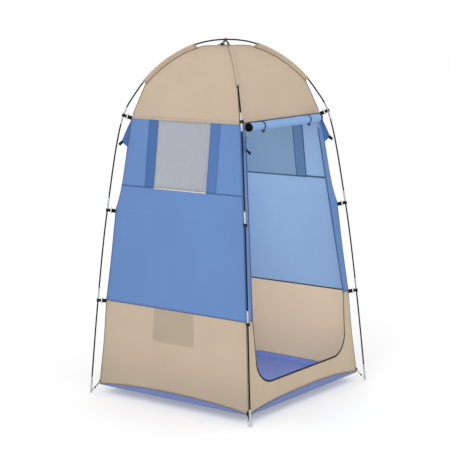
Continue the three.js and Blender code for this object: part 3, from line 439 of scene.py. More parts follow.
def grid(name, points, finishes, uv=None, skip=None, pick=None, wrap=False, closed=False, ends=False, cap=False,
         flip=False):
    """A sheet from rows of points. Its outer face is on the side that rows and columns turn towards.

    Wrap joins the last column to the first, closed joins the last row to the first, ends fills the first and the
    last row, and cap draws the last row together in one point.
    """
    rows, columns = points.shape[:2]
    if uv is None:
        uv = np.stack(np.meshgrid(reaches(points, 1), reaches(points, 0)), axis=-1)
    places, flat = list(points.reshape(-1, 3)), list(uv.reshape(-1, 2))
    faces, indices = [], []
    for i in range(rows if closed else rows - 1):
        for j in range(columns if wrap else columns - 1):
            if skip and skip(i, j):
                continue
            k, above = (j + 1) % columns, (i + 1) % rows * columns
            faces.append((i * columns + j, i * columns + k, above + k, above + j))
            indices.append(pick(i, j) if pick else 0)
    last = (rows - 1) * columns
    if ends:
        faces += [tuple(range(columns))[::-1], tuple(range(last, last + columns))]
    if cap:
        places.append(points[-1].mean(axis=0))
        flat.append(uv[-1].mean(axis=0))
        faces += [(last + j, last + (j + 1) % columns, len(places) - 1) for j in range(columns)]
    indices += [0] * (len(faces) - len(indices))
    if flip:
        faces = [face[::-1] for face in faces]
    return make_object(name, places, faces, finishes, indices, uv=flat)


def tube(name, centres, radii, finishes, sides=16, closed=False, squash=1.0, axis=None):
    """A bar through points, with a radius at each. An axis holds its section from turning."""
    centres = np.asarray(centres, float)
    radii = np.broadcast_to(np.asarray(radii, float), (len(centres),))
    if closed:
        tangents = np.roll(centres, -1, axis=0) - np.roll(centres, 1, axis=0)
    else:
        tangents = np.gradient(centres, axis=0)
    tangents[np.linalg.norm(tangents, axis=1) < 1e-9] = centres[-1] - centres[0]
    tangents = unit(tangents)
    upright = abs(tangents[0][2]) > 0.9
    first = start = np.array(axis if axis is not None else (1.0, 0, 0) if upright else (0, 0, 1.0))
    turns = np.arange(sides) * 2 * math.pi / sides
    rings = []
    for centre, radius, tangent in zip(centres, radii, tangents):
        base = first if axis is None else start
        first = unit(base - tangent * (base @ tangent))
        second = np.cross(tangent, first)
        rings.append(centre + radius * (np.outer(np.cos(turns), first) * squash + np.outer(np.sin(turns), second)))
    uv = np.stack(np.meshgrid(turns * max(radii.max(), 1e-4), reaches(centres)), axis=-1)
    return grid(name, np.array(rings), finishes, uv, wrap=True, closed=closed, ends=not closed)


def cord_ball(name, centre, direction, radius, finishes, tip=80, count=9, sides=12):
    """A ball of cord, drawn out along a direction."""
    turns = np.radians(np.linspace(-tip, tip, count))
    return tube(name, [centre + direction * radius * math.sin(t) for t in turns],
                [radius * math.cos(t) for t in turns], finishes, sides)


def ribbon(name, centres, across, widths, finishes, thickness):
    """A flat strap along a path. Across is the direction of its width."""
    centres = np.asarray(centres, float)
    across = np.broadcast_to(np.asarray(across, float), centres.shape)
    widths = np.broadcast_to(np.asarray(widths, float), (len(centres),))
    shares = np.linspace(-0.5, 0.5, 5)
    points = centres[:, None, :] + across[:, None, :] * (widths[:, None] * shares)[..., None]
    return thicken(grid(name, points, finishes), thickness, inner=0)


def prism(name, outline, depth, finish, bevel, lift=0.0):
    """A flat outline drawn out along Z, with rounded edges."""
    count = len(outline)
    points = [(x, y, z + lift) for z in (-depth / 2, depth / 2) for x, y in outline]
    faces = [tuple(range(count))[::-1], tuple(range(count, 2 * count))]
    faces += [(i, (i + 1) % count, count + (i + 1) % count, count + i) for i in range(count)]
    thing = make_object(name, points, faces, [finish], rounded=False)
    edge = thing.modifiers.new("edge", "BEVEL")
    edge.width = bevel
    edge.segments = 2
    edge.limit_method = "ANGLE"
    return thing


def join_pieces(name, things):
    """One piece from several, with the looks of each kept."""
    whole = bmesh.new()
    looks = []
    for thing in things:
        mesh = settle(thing).data
        looks += [made for made in mesh.materials if made not in looks]
        before = len(whole.faces)
        whole.from_mesh(mesh)
        whole.faces.ensure_lookup_table()
        for face in whole.faces[before:]:
            face.material_index = looks.index(mesh.materials[face.material_index]) if looks else 0
        bpy.data.objects.remove(thing)
    mesh = bpy.data.meshes.new(name)
    whole.to_mesh(mesh)
    whole.free()
    for made in looks:
        mesh.materials.append(made)
    return in_scene(name, mesh)


def frame_matrix(across, side, up, origin):
    return Matrix([[across[i], side[i], up[i], origin[i]] for i in range(3)] + [[0, 0, 0, 1]])


def moved(thing, origin, across, side, up):
    """Puts a mesh that was made round the origin into a place's own axes."""
    thing.data.transform(frame_matrix(across, side, up, origin))
    thing.data.update()
    return thing


def reshape(thing, change):
    """Puts a mesh's points where a function of them all says."""
    points = np.array([v.co for v in thing.data.vertices])
    thing.data.vertices.foreach_set("co", change(points).ravel())
    thing.data.update()


def face_outward(thing):
    """Turns every closed shell of a mesh to face outwards."""
    mesh = bmesh.new()
    mesh.from_mesh(thing.data)
    bmesh.ops.recalc_face_normals(mesh, faces=mesh.faces)
    mesh.to_mesh(thing.data)
    mesh.free()


def face_away(thing, inside):
    """Turns a tube-like sheet's faces away from the line inside it."""
    centre = Vector(inside)
    near = min(thing.data.polygons, key=lambda p: (p.center - centre).length)
    if near.normal.dot(near.center - centre) < 0:
        thing.data.flip_normals()


# Copies along a line, by nodes

COPY_NODES = {
    "given": "NodeGroupInput", "line": "GeometryNodeMeshToCurve", "spaced": "GeometryNodeResampleCurve",
    "tangent": "GeometryNodeInputTangent", "along": "FunctionNodeAlignRotationToVector",
    "facing": "FunctionNodeAlignRotationToVector", "shape": "GeometryNodeObjectInfo",
    "placed": "GeometryNodeInstanceOnPoints", "real": "GeometryNodeRealizeInstances",
    "finish": "GeometryNodeSetMaterial", "result": "NodeGroupOutput",
}
COPY_LINKS = (
    ("given", "Geometry", "line", "Mesh"), ("line", 0, "spaced", "Curve"), ("given", "Pitch", "spaced", "Length"),
    ("tangent", 0, "along", "Vector"), ("along", 0, "facing", "Rotation"), ("given", "Facing", "facing", "Vector"),
    ("given", "Shape", "shape", "Object"), ("spaced", 0, "placed", "Points"),
    ("shape", "Geometry", "placed", "Instance"), ("facing", 0, "placed", "Rotation"), ("placed", 0, "real", 0),
    ("real", 0, "finish", "Geometry"), ("given", "Finish", "finish", "Material"), ("finish", 0, "result", 0),
)


@functools.cache
def copies_tree():
    """A node tree that sets a small shape along a line, turned to the line and to a facing."""
    tree = bpy.data.node_groups.new("copies_along_line", "GeometryNodeTree")
    add = tree.interface.new_socket
    inputs = {}
    for name, kind in (("Geometry", "Geometry"), ("Pitch", "Float"), ("Shape", "Object"), ("Facing", "Vector"),
                       ("Finish", "Material")):
        inputs[name] = add(name, in_out="INPUT", socket_type=f"NodeSocket{kind}").identifier
    add("Geometry", in_out="OUTPUT", socket_type="NodeSocketGeometry")
    nodes = {name: tree.nodes.new(kind) for name, kind in COPY_NODES.items()}
    nodes["spaced"].mode = "LENGTH"
    nodes["along"].axis = "X"
    nodes["facing"].axis, nodes["facing"].pivot_axis = "Z", "X"
    for start, output, end, socket in COPY_LINKS:
        tree.links.new(nodes[start].outputs[output], nodes[end].inputs[socket])
    return tree, inputs


def copies_along(name, lines, shape, pitch, facing, finish):
    """A piece made of copies of a shape along lines of points. The shape is used up."""
    tree, inputs = copies_tree()
    edges, start = [], 0
    for line in lines:
        edges += [(start + i, start + i + 1) for i in range(len(line) - 1)]
        start += len(line)
    mesh = bpy.data.meshes.new(name)
    mesh.from_pydata([tuple(p) for line in lines for p in line], edges, [])
    thing = in_scene(name, mesh)
    nodes = thing.modifiers.new("copies", "NODES")
    nodes.node_group = tree
    given = {"Pitch": pitch, "Shape": shape, "Facing": tuple(facing), "Finish": look(finish)}
    for socket, value in given.items():
        nodes[inputs[socket]] = value
    settle(thing)
    bpy.data.objects.remove(shape)
    return thing


def stitches(name, lines, facing, finish):
    """Rows of stitches along lines of points. A stitch is a short thread that dips into the cloth at both ends."""
    length, thick = sizes().stitch_length, sizes().thread
    centres = [(s * length / 2, 0, thick * (0.5 - 0.9 * s * s)) for s in np.linspace(-1, 1, 6)]
    radii = [thick * 0.3] + [thick / 2] * 4 + [thick * 0.3]
    stitch = tube("stitch", centres, radii, [], 5)
    return finish_piece(copies_along(name, lines, stitch, sizes().stitch_pitch, facing, finish))


# Finishes

def new_look(name, roughness, metallic=0.0, specular=0.5):
    made = bpy.data.materials.new(name)
    made.use_nodes = True
    shader = made.node_tree.nodes["Principled BSDF"]
    for socket, value in (("Roughness", roughness), ("Metallic", metallic), ("Specular IOR Level", specular)):
        shader.inputs[socket].default_value = value
    return made, made.node_tree, shader


def node(tree, kind, inputs, output=0, **settings):
    """One output of a new node, with each input set to a value or linked to another output."""
    made = tree.nodes.new(f"ShaderNode{kind}")
    for name, value in settings.items():
        setattr(made, name, value)
    for name, value in inputs.items():
        if isinstance(value, bpy.types.NodeSocket):
            tree.links.new(value, made.inputs[name])
        else:
            made.inputs[name].default_value = value
    return made.outputs[output]


def object_and_cloth(tree):
    """A place on the object and one on its own cloth, in metres."""
    return node(tree, "TexCoord", {}, "Object"), node(tree, "UVMap", {}, uv_map="cloth")


def noise_on(tree, vector, scale, detail=2.0, low=0.0, high=1.0):
    """Noise read at a vector, stretched to a range."""
    noise = node(tree, "TexNoise", {"Vector": vector, "Scale": scale, "Detail": detail}, "Fac")
    return node(tree, "MapRange", {"Value": noise, "From Min": 0.25, "From Max": 0.75, "To Min": low, "To Max": high})


def times(tree, first, second):
    return node(tree, "Math", {0: first, 1: second}, operation="MULTIPLY")


def shaded(tree, colour, amount):
    """A colour scaled by a value that changes over the surface."""
    return node(tree, "VectorMath", {0: colour[:3], "Scale": amount}, operation="SCALE")


def weave(tree, vector, pitch):
    """The height of a plain weave of threads at a pitch."""
    waves = {"Vector": vector, "Scale": 0.314 / pitch, "Distortion": 0.6, "Detail": 1.0}
    return times(tree, *(node(tree, "TexWave", waves, "Fac", bands_direction=way) for way in ("X", "Y")))


def bumped(tree, height, strength, distance, below=None):
    inputs = {"Strength": strength, "Distance": distance, "Height": height}
    if below is not None:
        inputs["Normal"] = below
    return node(tree, "Bump", inputs, "Normal")


def cloth_look(name, colour, pitch=0.0009, through=0.35, roughness=0.62, crumple=0.25, vary=0.035, low_darkening=0.0):
    """Coated woven cloth that lets some light through, with painted shade where the pocket lies behind it and darker
    towards the ground.
    """
    made, tree, shader = new_look(name, roughness, specular=0.28)
    shader.inputs["Sheen Weight"].default_value = 0.08
    place, flat = object_and_cloth(tree)
    broad = noise_on(tree, place, 3.2, 2.0, 1 - vary, 1 + vary)
    threads = noise_on(tree, flat, 420, 3.0, 1 - vary, 1 + vary)
    # Painted shade: the colour is darkened where the pocket lies behind the cloth
    backing = node(tree, "Attribute", {}, "Fac", attribute_name="backing")
    pocket_shaded = node(tree, "MapRange", {"Value": backing, "To Min": 1.0, "To Max": 0.86})
    tone = times(tree, times(tree, broad, threads), pocket_shaded)
    # Darker towards the ground, by a share that fades out at a given height
    if low_darkening:
        height = node(tree, "SeparateXYZ", {0: place}, "Z")
        spread = {"Value": height, "From Min": TUB_EDGE, "From Max": DARKENING_TOP, "To Min": 1 - low_darkening, "To Max": 1.0}
        tone = times(tree, tone, node(tree, "MapRange", spread, interpolation_type="SMOOTHSTEP"))
    toned = shaded(tree, colour, tone)
    tree.links.new(toned, shader.inputs["Base Color"])
    creased = bumped(tree, noise_on(tree, place, 17, 4.0), crumple, 0.004)
    tree.links.new(bumped(tree, weave(tree, flat, pitch), 0.25, pitch / 5, creased), shader.inputs["Normal"])
    if through:
        glow = node(tree, "BsdfTranslucent", {"Color": toned})
        mixed = node(tree, "MixShader", {"Fac": through, 1: shader.outputs[0], 2: glow})
        tree.links.new(mixed, tree.nodes["Material Output"].inputs["Surface"])
    return made


def webbing_look(name, colour, pitch=0.0016, roughness=0.85, vary=0.25):
    """Ribbed woven tape."""
    made, tree, shader = new_look(name, roughness, specular=0.2)
    place, flat = object_and_cloth(tree)
    ribs = weave(tree, flat, pitch)
    dusty = noise_on(tree, place, 60, 3.0, 1 - vary, 1 + vary)
    lit = node(tree, "MapRange", {"Value": ribs, "To Min": 0.7, "To Max": 1.25})
    tree.links.new(shaded(tree, colour, times(tree, dusty, lit)), shader.inputs["Base Color"])
    tree.links.new(bumped(tree, ribs, 0.6, pitch / 4), shader.inputs["Normal"])
    return made


def hard_look(name, colour, roughness, metallic=0.0, grain=900.0, vary=0.12, bump=0.15, specular=0.3):
    """Moulded plastic, glass-fibre rod or plated steel, with fine grain and handled patches."""
    made, tree, shader = new_look(name, roughness, metallic, specular)
    place = node(tree, "TexCoord", {}, "Object")
    broad = noise_on(tree, place, 38, 3.0, 1 - vary, 1 + vary)
    tree.links.new(shaded(tree, colour, broad), shader.inputs["Base Color"])
    worn = noise_on(tree, place, 90, 4.0, roughness * 0.75, min(1.0, roughness * 1.3))
    tree.links.new(worn, shader.inputs["Roughness"])
    tree.links.new(bumped(tree, noise_on(tree, place, grain, 2.0), bump, 0.0002), shader.inputs["Normal"])
    return made


COATED = {"pitch": 0.0013, "through": 0.15, "crumple": 0.5, "vary": 0.05}
# Each finish's kind, its colour where that isn't its own name, and what sets it apart from its kind
FINISHES = {
    "sand": (cloth_look, None, {"low_darkening": 0.14}),
    "sand_inside": (cloth_look, None, {"low_darkening": 0.05}),
    "blue": (cloth_look, None, {}),
    "blue_inside": (cloth_look, None, {}),
    "strip": (cloth_look, None, {"through": 0.2}),
    # The band colour painted a shade lighter: painted light on one band of each window
    "strip_pale": (cloth_look, None, {"through": 0.2}),
    "cover": (cloth_look, None, {"through": 0.25}),
    "facing": (cloth_look, None, {"through": 0.2}),
    "rolled": (cloth_look, None, {"through": 0.2}),
    "floor": (cloth_look, None, {"roughness": 0.42, **COATED}),
    "floor_inside": (cloth_look, None, {"roughness": 0.5, **COATED}),
    # Blue seams painted dark: partly the thread's own colour, partly painted shade in the folds
    "blue_seam": (cloth_look, None, {"through": 0}),
    "inner_seam": (cloth_look, None, {"through": 0}),
    # Sand seams painted dark: partly the thread's own colour, partly painted shade in the folds and where parts meet
    "sand_seam": (cloth_look, None, {"through": 0}),
    "net": (webbing_look, None, {"pitch": 0.0009, "roughness": 0.7, "vary": 0.04}),
    "dark_binding": (webbing_look, "binding", {}),
    "pale_binding": (webbing_look, None, {}),
    "webbing": (webbing_look, "black", {}),
    "tie_tape": (webbing_look, None, {}),
    "zip": (webbing_look, "black", {"pitch": 0.0009, "roughness": 0.6}),
    "cord": (webbing_look, "black", {"pitch": 0.0012}),
    "coil": (hard_look, "black", {"roughness": 0.35}),
    "rod": (hard_look, "black", {"roughness": 0.5, "grain": 1400, "specular": 0.06}),
    "plastic": (hard_look, "black", {"roughness": 0.42}),
    "steel": (hard_look, None, {"roughness": 0.3, "metallic": 0.85, "vary": 0.05, "specular": 0.5}),
    "ring": (hard_look, None, {"roughness": 0.35, "metallic": 0.7, "vary": 0.05}),
}


@functools.cache
def look(name):
    """A finish by name, made the first time it is asked for."""
    maker, colour, settings = FINISHES[name]
    return maker(name, getattr(bpy.context.scene.tent_colours, colour or name), **settings)


def two_faced(colour):
    return [colour, f"{colour}_inside"]


# Walls

def upper_columns(edge):
    """Places across an upper wall, closer together beside the window and the seams."""
    strip = MESH_HALF + STRIP_WIDTH
    outer = strip + (edge - strip) * (np.linspace(strip, 1.0, 19) - strip) / (1 - strip)
    half = np.concatenate([np.linspace(MESH_HALF, strip, 11)[:-1], outer])
    return np.concatenate([-half[::-1], np.linspace(-MESH_HALF, MESH_HALF, 47)[1:-1], half])


def wall_sheet(name, side, xs, zs, colour, node_name, skip=None, flip=False):
    """A stretched cloth of one side, from places across it and their heights."""
    wall = grid(name, on_wall(side, xs, 0, zs), two_faced(colour), np.stack([xs, zs], axis=-1), skip, flip=flip)
    finish_piece(thicken(wall), [node_name])
    return declare(wall)


def upper_wall(name, side, node_name, window):
    heights = joined_spans((LOW_SEAM + TOUCH, LOW_SEAM + 0.03, 6), (LOW_SEAM + 0.03, SILL - 0.03, 58),
                           (SILL - 0.03, SILL, 6), (SILL, HEM - TOUCH, 36))
    xs = np.array([upper_columns(wall_edge(z)) for z in heights])
    zs = np.broadcast_to(heights[:, None], xs.shape)
    sill_row = int(np.argmin(np.abs(heights - SILL)))
    first, last = (int(np.argmin(np.abs(xs[0] - x))) for x in (-MESH_HALF, MESH_HALF))
    skip = (lambda i, j: i >= sill_row and first <= j < last) if window else None
    wall_sheet(name, side, xs, zs, "blue", node_name, skip)


def lower_wall(side):
    shares = np.linspace(-1, 1, 121)
    rises = joined_spans((0, 0.06, 5), (0.06, 0.94, 44), (0.94, 1, 5))[:, None]
    rim = tub_rim(side, shares * wall_edge(RIM_HEIGHT + TOUCH)) + TOUCH
    zs = rim + (LOW_SEAM - TOUCH - rim) * rises
    xs = shares * wall_edge(zs)
    wall = wall_sheet(f"{side}_lower_cloth", side, xs, zs, "sand", f"{side}_wall_lower")
    # The left wall gets painted shade where the pocket lies behind it
    if side == "left":
        paint_pocket_shade(wall, xs, zs)


def paint_pocket_shade(wall, xs, zs):
    """Marks, as painted shade, where the pocket lies behind the wall, with soft edges."""
    edge = 0.007
    half = POCKET_HALF * (1 + 0.06 * (LOW_SEAM - zs) / POCKET_HEIGHT)
    inside = np.clip((half - np.abs(xs)) / edge, 0, 1) * np.clip((zs - LOW_SEAM + POCKET_HEIGHT) / edge, 0, 1)
    attribute = wall.data.attributes.new("backing", "FLOAT", "POINT")
    attribute.data.foreach_set("value", inside.ravel().astype(np.float32))


def wall_patch(name, side, half, low, high, out, finishes, columns=40, rows=24, centre=0.0, belly=None):
    """A flat piece laid on one side, at a distance out from its cloth."""
    share = np.linspace(-1, 1, columns)
    xs = centre + np.broadcast_to(share * half, (rows, columns))
    zs = np.broadcast_to(np.linspace(low, high, rows)[:, None], (rows, columns))
    outs = out + (belly(share[None, :], (zs - low) / (high - low)) if belly else 0)
    patch = grid(name, on_wall(side, xs, outs, zs), finishes, np.stack([xs, zs], axis=-1))
    thicken(patch, inner=len(finishes) - 1)
    return finish_piece(patch)


def net_panel(side):
    """A window net of crossing strands, laid in the window."""
    pitch, strand = sizes().net_pitch, sizes().net_strand
    width, height = 2 * (MESH_HALF - TOUCH), HEM - SILL - 2 * TOUCH
    base = SILL + TOUCH
    parts = []
    for kind, line, length in (
        ("upright", [(x, 0, base) for x in (-width / 2 + strand, width / 2 - strand)], height),
        ("level", [(width / 2, 0, z) for z in (base + strand, base + height - strand)], width),
    ):
        path = [(0, y, 0) for y in np.linspace(0, length, 16)]
        shape = settle(ribbon(f"strand_{kind}", path, (1, 0, 0), strand, [], 0.00022))
        parts.append(copies_along(f"net_{kind}", [line], shape, pitch, (0, -1, 0), "net"))
    net = join_pieces(f"window_net_{side}", parts)
    reshape(net, lambda points: on_wall(side, points[:, 0], -points[:, 1], points[:, 2]))
    finish_piece(net, [f"window_mesh_{side}"])
    declare(net)


def rolled_sheet(name, centre, radius, half, length, finishes, tail, dents, edge_finish=None, swell=0.0):
    """A sheet wound into a roll along X that hangs from a line of stitches by its tail."""
    core, tail_steps = 0.0028, 6
    pitch = math.pi * (radius ** 2 - core ** 2) / length
    turns = (radius - core) / pitch
    columns = np.concatenate([[-half, -half + 0.004, -half + 0.009], np.linspace(-half + 0.02, half - 0.02, 58),
                              [half - 0.016, half - 0.007, half]])
    phases = np.random.RandomState(5).uniform(0, 6.28, 6)
    dent = sum(np.exp(-((columns - d) / 0.022) ** 2) for d in dents)
    fuller = 1 + swell * (columns / half + 1) / 2
    rows = []
    for share in np.arange(tail_steps) / tail_steps:
        rows.append(row(columns, tail[0] + (centre[1] + radius - tail[0]) * share,
                        tail[1] + (centre[2] - tail[1]) * share))
    for angle in np.linspace(0, turns * 2 * math.pi, int(turns * 26)):
        spread = radius - pitch * angle / (2 * math.pi)
        ripple = sum(np.sin(columns * (14 + 9 * k) + phases[k] + (k % 3) * angle) for k in range(6)) / 6
        flow = spread * fuller * (1 - 0.07 * dent) + sizes().roll_ripple * ripple * (spread / radius)
        reach = columns * (1 + 0.004 * math.sin(angle * 1.7) * (np.abs(columns) > half - 0.03))
        rows.append(row(reach, centre[1] + np.cos(angle) * flow, centre[2] - np.sin(angle) * flow))
    last = len(columns) - 1
    ends = (lambda i, j: 2 if i >= tail_steps and (j < 2 or j >= last - 2) else 0) if edge_finish else None
    finishes = finishes + [edge_finish] * 2 if edge_finish else finishes
    return thicken(grid(name, np.array(rows), finishes, pick=ends, flip=True), 0.00045)


# Poles

def arch_line(start, apex):
    """The line of one bent pole from foot to foot, as points close together."""
    top = ROOT_TWO * HEM_HALF + CLIP_REACH
    stations = [(ROOT_TWO * FLOOR_HALF + FOOT_REACH, 0), (ROOT_TWO * LOW_HALF + CLIP_REACH, LOW_SEAM),
                (ROOT_TWO * MID_HALF + CLIP_REACH, MID_BEND), (top, TOP_CLIP)]
    stations += [(share * top, TOP_CLIP + rise * (apex - TOP_CLIP))
                 for share, rise in zip(ARCH_RADIUS_SHARES, ARCH_RISE_SHARES)]
    points = [np.array((start[0] * r / ROOT_TWO, start[1] * r / ROOT_TWO, z)) for r, z in stations]
    points += [np.array((0.0, 0.0, apex))] + [p * (-1, -1, 1) for p in points[::-1]]
    return spline([2 * points[0] - points[1]] + points + [2 * points[-1] - points[-2]], 160)


class Leg:
    """One corner's half of a pole, measured along it from the ground."""

    def __init__(self, corner):
        sign = CORNERS[corner]
        self.pole = "over" if corner in ("back_left", "front_right") else "under"
        self.line = arch_line(sign, POLE_APEX if self.pole == "over" else POLE_APEX - UNDER_DROP)
        self.reach = reaches(self.line)
        self.outward = np.array((sign[0], sign[1], 0)) / ROOT_TWO
        self.tangent = np.cross((0, 0, 1), self.outward)

    def point(self, distance):
        distance = np.atleast_1d(np.asarray(distance, float))
        return np.stack([np.interp(distance, self.reach, self.line[:, k]) for k in range(3)], axis=-1)

    def direction(self, distance):
        return unit(self.point(distance + 0.002)[0] - self.point(distance - 0.002)[0])

    def at_height(self, height):
        half = len(self.line) // 2
        return float(np.interp(height, self.line[:half, 2], self.reach[:half]))

    def at_radius(self, radius):
        half = len(self.line) // 2
        start = int(np.argmax(self.line[:half, 2] > TOP_CLIP))
        spread = np.hypot(self.line[start:half, 0], self.line[start:half, 1])
        return float(np.interp(-radius, -spread, self.reach[start:half]))

    def ferrules(self):
        low, mid, top = (self.at_height(z) for z in CLIP_HEIGHTS.values())
        above = HOOK_HEIGHT / 2 + HOOK_PLAY
        spans = {"low": (low + above, LEG_FERRULE), "mid": (mid + above, LEG_FERRULE),
                 "top": (top - TOP_FERRULE / 2, TOP_FERRULE), "foot": (FOOT_LIFT, FOOT_FERRULE)}
        return {name: (start, start + length) for name, (start, length) in spans.items()}

    def joints(self):
        return [sum(self.ferrules()[name]) / 2 for name in ("low", "mid", "top")]


LEGS = {corner: Leg(corner) for corner in CORNERS}


def rod(name, leg, start, end):
    """A glass-fibre rod with softly rounded ends."""
    places = np.linspace(start, end, max(4, int((end - start) / ROD_STEP)))
    places = np.concatenate([[start, start + ROD_TIP], places[1:-1], [end - ROD_TIP, end]])
    radii = np.full(len(places), ROD_RADIUS)
    radii[0] = radii[-1] = ROD_RADIUS - ROD_TIP
    return tube(name, leg.point(places), radii, ["rod"], 20)


def ferrule(name, leg, start, end):
    """A drawn steel sleeve with rolled lips and crimped rings."""
    length = end - start
    lip = [(-0.00002, ROD_RADIUS + 0.0001), (0, FERRULE_RADIUS - 0.0004)]
    lip += [(distance, FERRULE_RADIUS + change) for distance, change in FERRULE_PROFILE]
    inset, waist = lip[-1]
    middle = np.linspace(inset, length - inset, max(3, int(length / ROD_STEP)))[1:-1]
    line = lip + [(distance, waist) for distance in middle]
    line += [(length - distance, radius) for distance, radius in lip[::-1]]
    return tube(name, leg.point([start + distance for distance, _ in line]), [r for _, r in line], ["steel"], 24)


# Clips

def clip_axes(corner, name):
    """A clip's middle on the pole, its axes, and how far in the seam lies."""
    leg = LEGS[corner]
    distance = leg.at_height(CLIP_HEIGHTS[name])
    origin, up = leg.point(distance)[0], leg.direction(distance)
    across = unit(leg.outward - up * (leg.outward @ up))
    side = np.cross(up, across)
    seam = CLIP_REACH
    for _ in range(40):
        height = origin[2] - across[2] * seam
        seam = (origin @ leg.outward - ROOT_TWO * corner_half(min(height, HEM))) / (across @ leg.outward)
    return origin, across, side, up, float(seam)


def make_hook(corner, name):
    """A moulded hook: a boss on the ring, a shank and a curl that snaps over the pole."""
    grip = GRIP_RADII[name]
    reach = grip + HOOK_EYE_TO_ROD
    inner = reach + grip + TOUCH
    outer = inner + HOOK_THICKNESS
    shank_start = math.asin((grip + HOOK_PLAY) / reach)
    shank_end = shank_start + HOOK_SHANK
    lip = -HOOK_TIP
    outline = arc((0, 0), outer, lip + 0.05, shank_end, 26)
    outline += arc((0, 0), HOOK_EYE, shank_end - 0.5, shank_start + 0.5, 2)
    outline += arc((0, 0), inner, shank_start, lip + 0.12, 24)
    bead_at = (inner + outer) / 2
    bead = (bead_at * math.cos(lip), bead_at * math.sin(lip))
    outline += arc(bead, 0.0021, lip + math.pi * 0.8, lip + 2 * math.pi, 8)
    curl = prism("curl", outline, HOOK_HEIGHT, "plastic", 0.0004)
    bore = RING_WIRE + HOOK_PLAY
    lift = HOOK_HEIGHT / 2
    section = [(bore, -lift), (HOOK_EYE - 0.0006, -lift), (HOOK_EYE, 0.0006 - lift), (HOOK_EYE, lift - 0.0006),
               (HOOK_EYE - 0.0006, lift), (bore, lift)]
    turns = np.arange(20) * 2 * math.pi / 20
    points = np.array([[(r * math.cos(t), r * math.sin(t), z) for t in turns] for r, z in section + section[:1]])
    boss = grid("boss", points, ["plastic"], wrap=True)
    rib_points = arc((0, 0), outer + 0.0006, lip + 0.35, shank_end - 0.25, 14)
    ribs = [tube("rib", [(x, y, z) for x, y in rib_points], HOOK_RIB, ["plastic"], 8)
            for z in (-HOOK_HEIGHT * 0.28, HOOK_HEIGHT * 0.28)]
    hook = join_pieces(f"hook_{corner}_{name}", [curl, boss] + ribs)
    hook.data.transform(Matrix.Translation((-reach, 0, 0)))
    origin, across, side, up, _ = clip_axes(corner, name)
    moved(hook, origin, across, side, up)
    return finish_piece(hook, [f"clip_hook_{corner}_{name}"], f"hook_{corner}_{name}")


def rounded_loop(width, length, corner):
    """Points round a rounded rectangle in X and Z."""
    line = []
    for sign_x, sign_z, start in ((1, -1, -math.pi / 2), (1, 1, 0), (-1, 1, math.pi / 2), (-1, -1, math.pi)):
        middle = (sign_x * (width / 2 - corner), sign_z * (length / 2 - corner))
        line += [(x, 0, z) for x, z in arc(middle, corner, start, start + math.pi / 2, 7)]
    return evenly(line + line[:1], 56)


def make_ring(corner, name):
    """The wire ring that joins a hook to its webbing."""
    loop = rounded_loop(RING_WIDTH, RING_HEIGHT, 0.004)
    ring = tube(f"ring_{corner}_{name}", loop, RING_WIRE, ["ring"], 10, closed=True)
    ring.data.transform(Matrix.Translation((-(GRIP_RADII[name] + HOOK_EYE_TO_ROD) - RING_WIDTH / 2, 0, 0)))
    moved(ring, *clip_axes(corner, name)[:4])
    return finish_piece(ring)


def make_tab(corner, name):
    """Webbing sewn to the corner seam and folded round the ring."""
    origin, across, side, up, seam = clip_axes(corner, name)
    bar = -(GRIP_RADII[name] + HOOK_EYE_TO_ROD) - RING_WIDTH
    gap = RING_WIRE + 0.0008
    path = [(-seam - 0.002, 0.0007, 0), (-seam + 0.006, 0.0009, 0), (bar - 0.008, 0.001, 0),
            (bar - 0.003, gap * 0.8, 0)]
    path += [(x, y, 0) for x, y in arc((bar, 0), gap, math.pi / 2, -math.pi / 2, 9)]
    path += [(x, -y, 0) for x, y, _ in path[3::-1]]
    tab = ribbon(f"tab_{corner}_{name}", path, (0, 0, 1), TAB_HEIGHT, ["webbing"], WEBBING)
    moved(tab, origin, across, side, up)
    return finish_piece(tab)


# Feet and guy tabs

def foot_link(corner):
    leg = LEGS[corner]
    ball = leg.point(0)[0] * (1, 1, 0) + (0, 0, PIN_BALL)
    strap_top = leg.outward * (ROOT_TWO * corner_half(RIM_HEIGHT) + STRAP_OUT) + (0, 0, RIM_HEIGHT)
    top = (strap_top + ball) / 2
    along = unit(top - ball)
    return leg, ball, strap_top, top, along, leg.tangent


def make_foot(corner):
    """The steel pin in the pole's foot, with its collar, ball and wire link."""
    leg, ball, _, top, along, tangent = foot_link(corner)
    up = leg.direction(0.003)
    collar = FOOT_LIFT - TOUCH
    line = [(0.0, 0.0012)]
    line += [(PIN_BALL + PIN_BALL * math.sin(t), PIN_BALL * math.cos(t)) for t in np.radians(np.linspace(-70, 40, 8))]
    line += [(collar - 0.0062, 0.0034), (collar - 0.005, 0.0046), (collar - 0.0045, 0.0048),
             (collar - 0.0005, 0.0048), (collar, 0.0044), (collar, 0.002), (FOOT_LIFT + 0.027, 0.002),
             (FOOT_LIFT + 0.028, 0.0012)]
    base = leg.point(0)[0]
    pin = tube("pin", [base + up * lift for lift, _ in line], [r for _, r in line], ["steel"], 20, axis=(1, 0, 0))
    loop = rounded_loop(LINK_WIDTH, np.linalg.norm(top - ball), 0.007)
    link = tube("link", loop, LINK_WIRE, ["ring"], 10, closed=True)
    moved(link, (top + ball) / 2, tangent, np.cross(along, tangent), along)
    foot = join_pieces(f"foot_{corner}", [pin, link])
    return finish_piece(foot, [f"foot_pin_{corner}"])


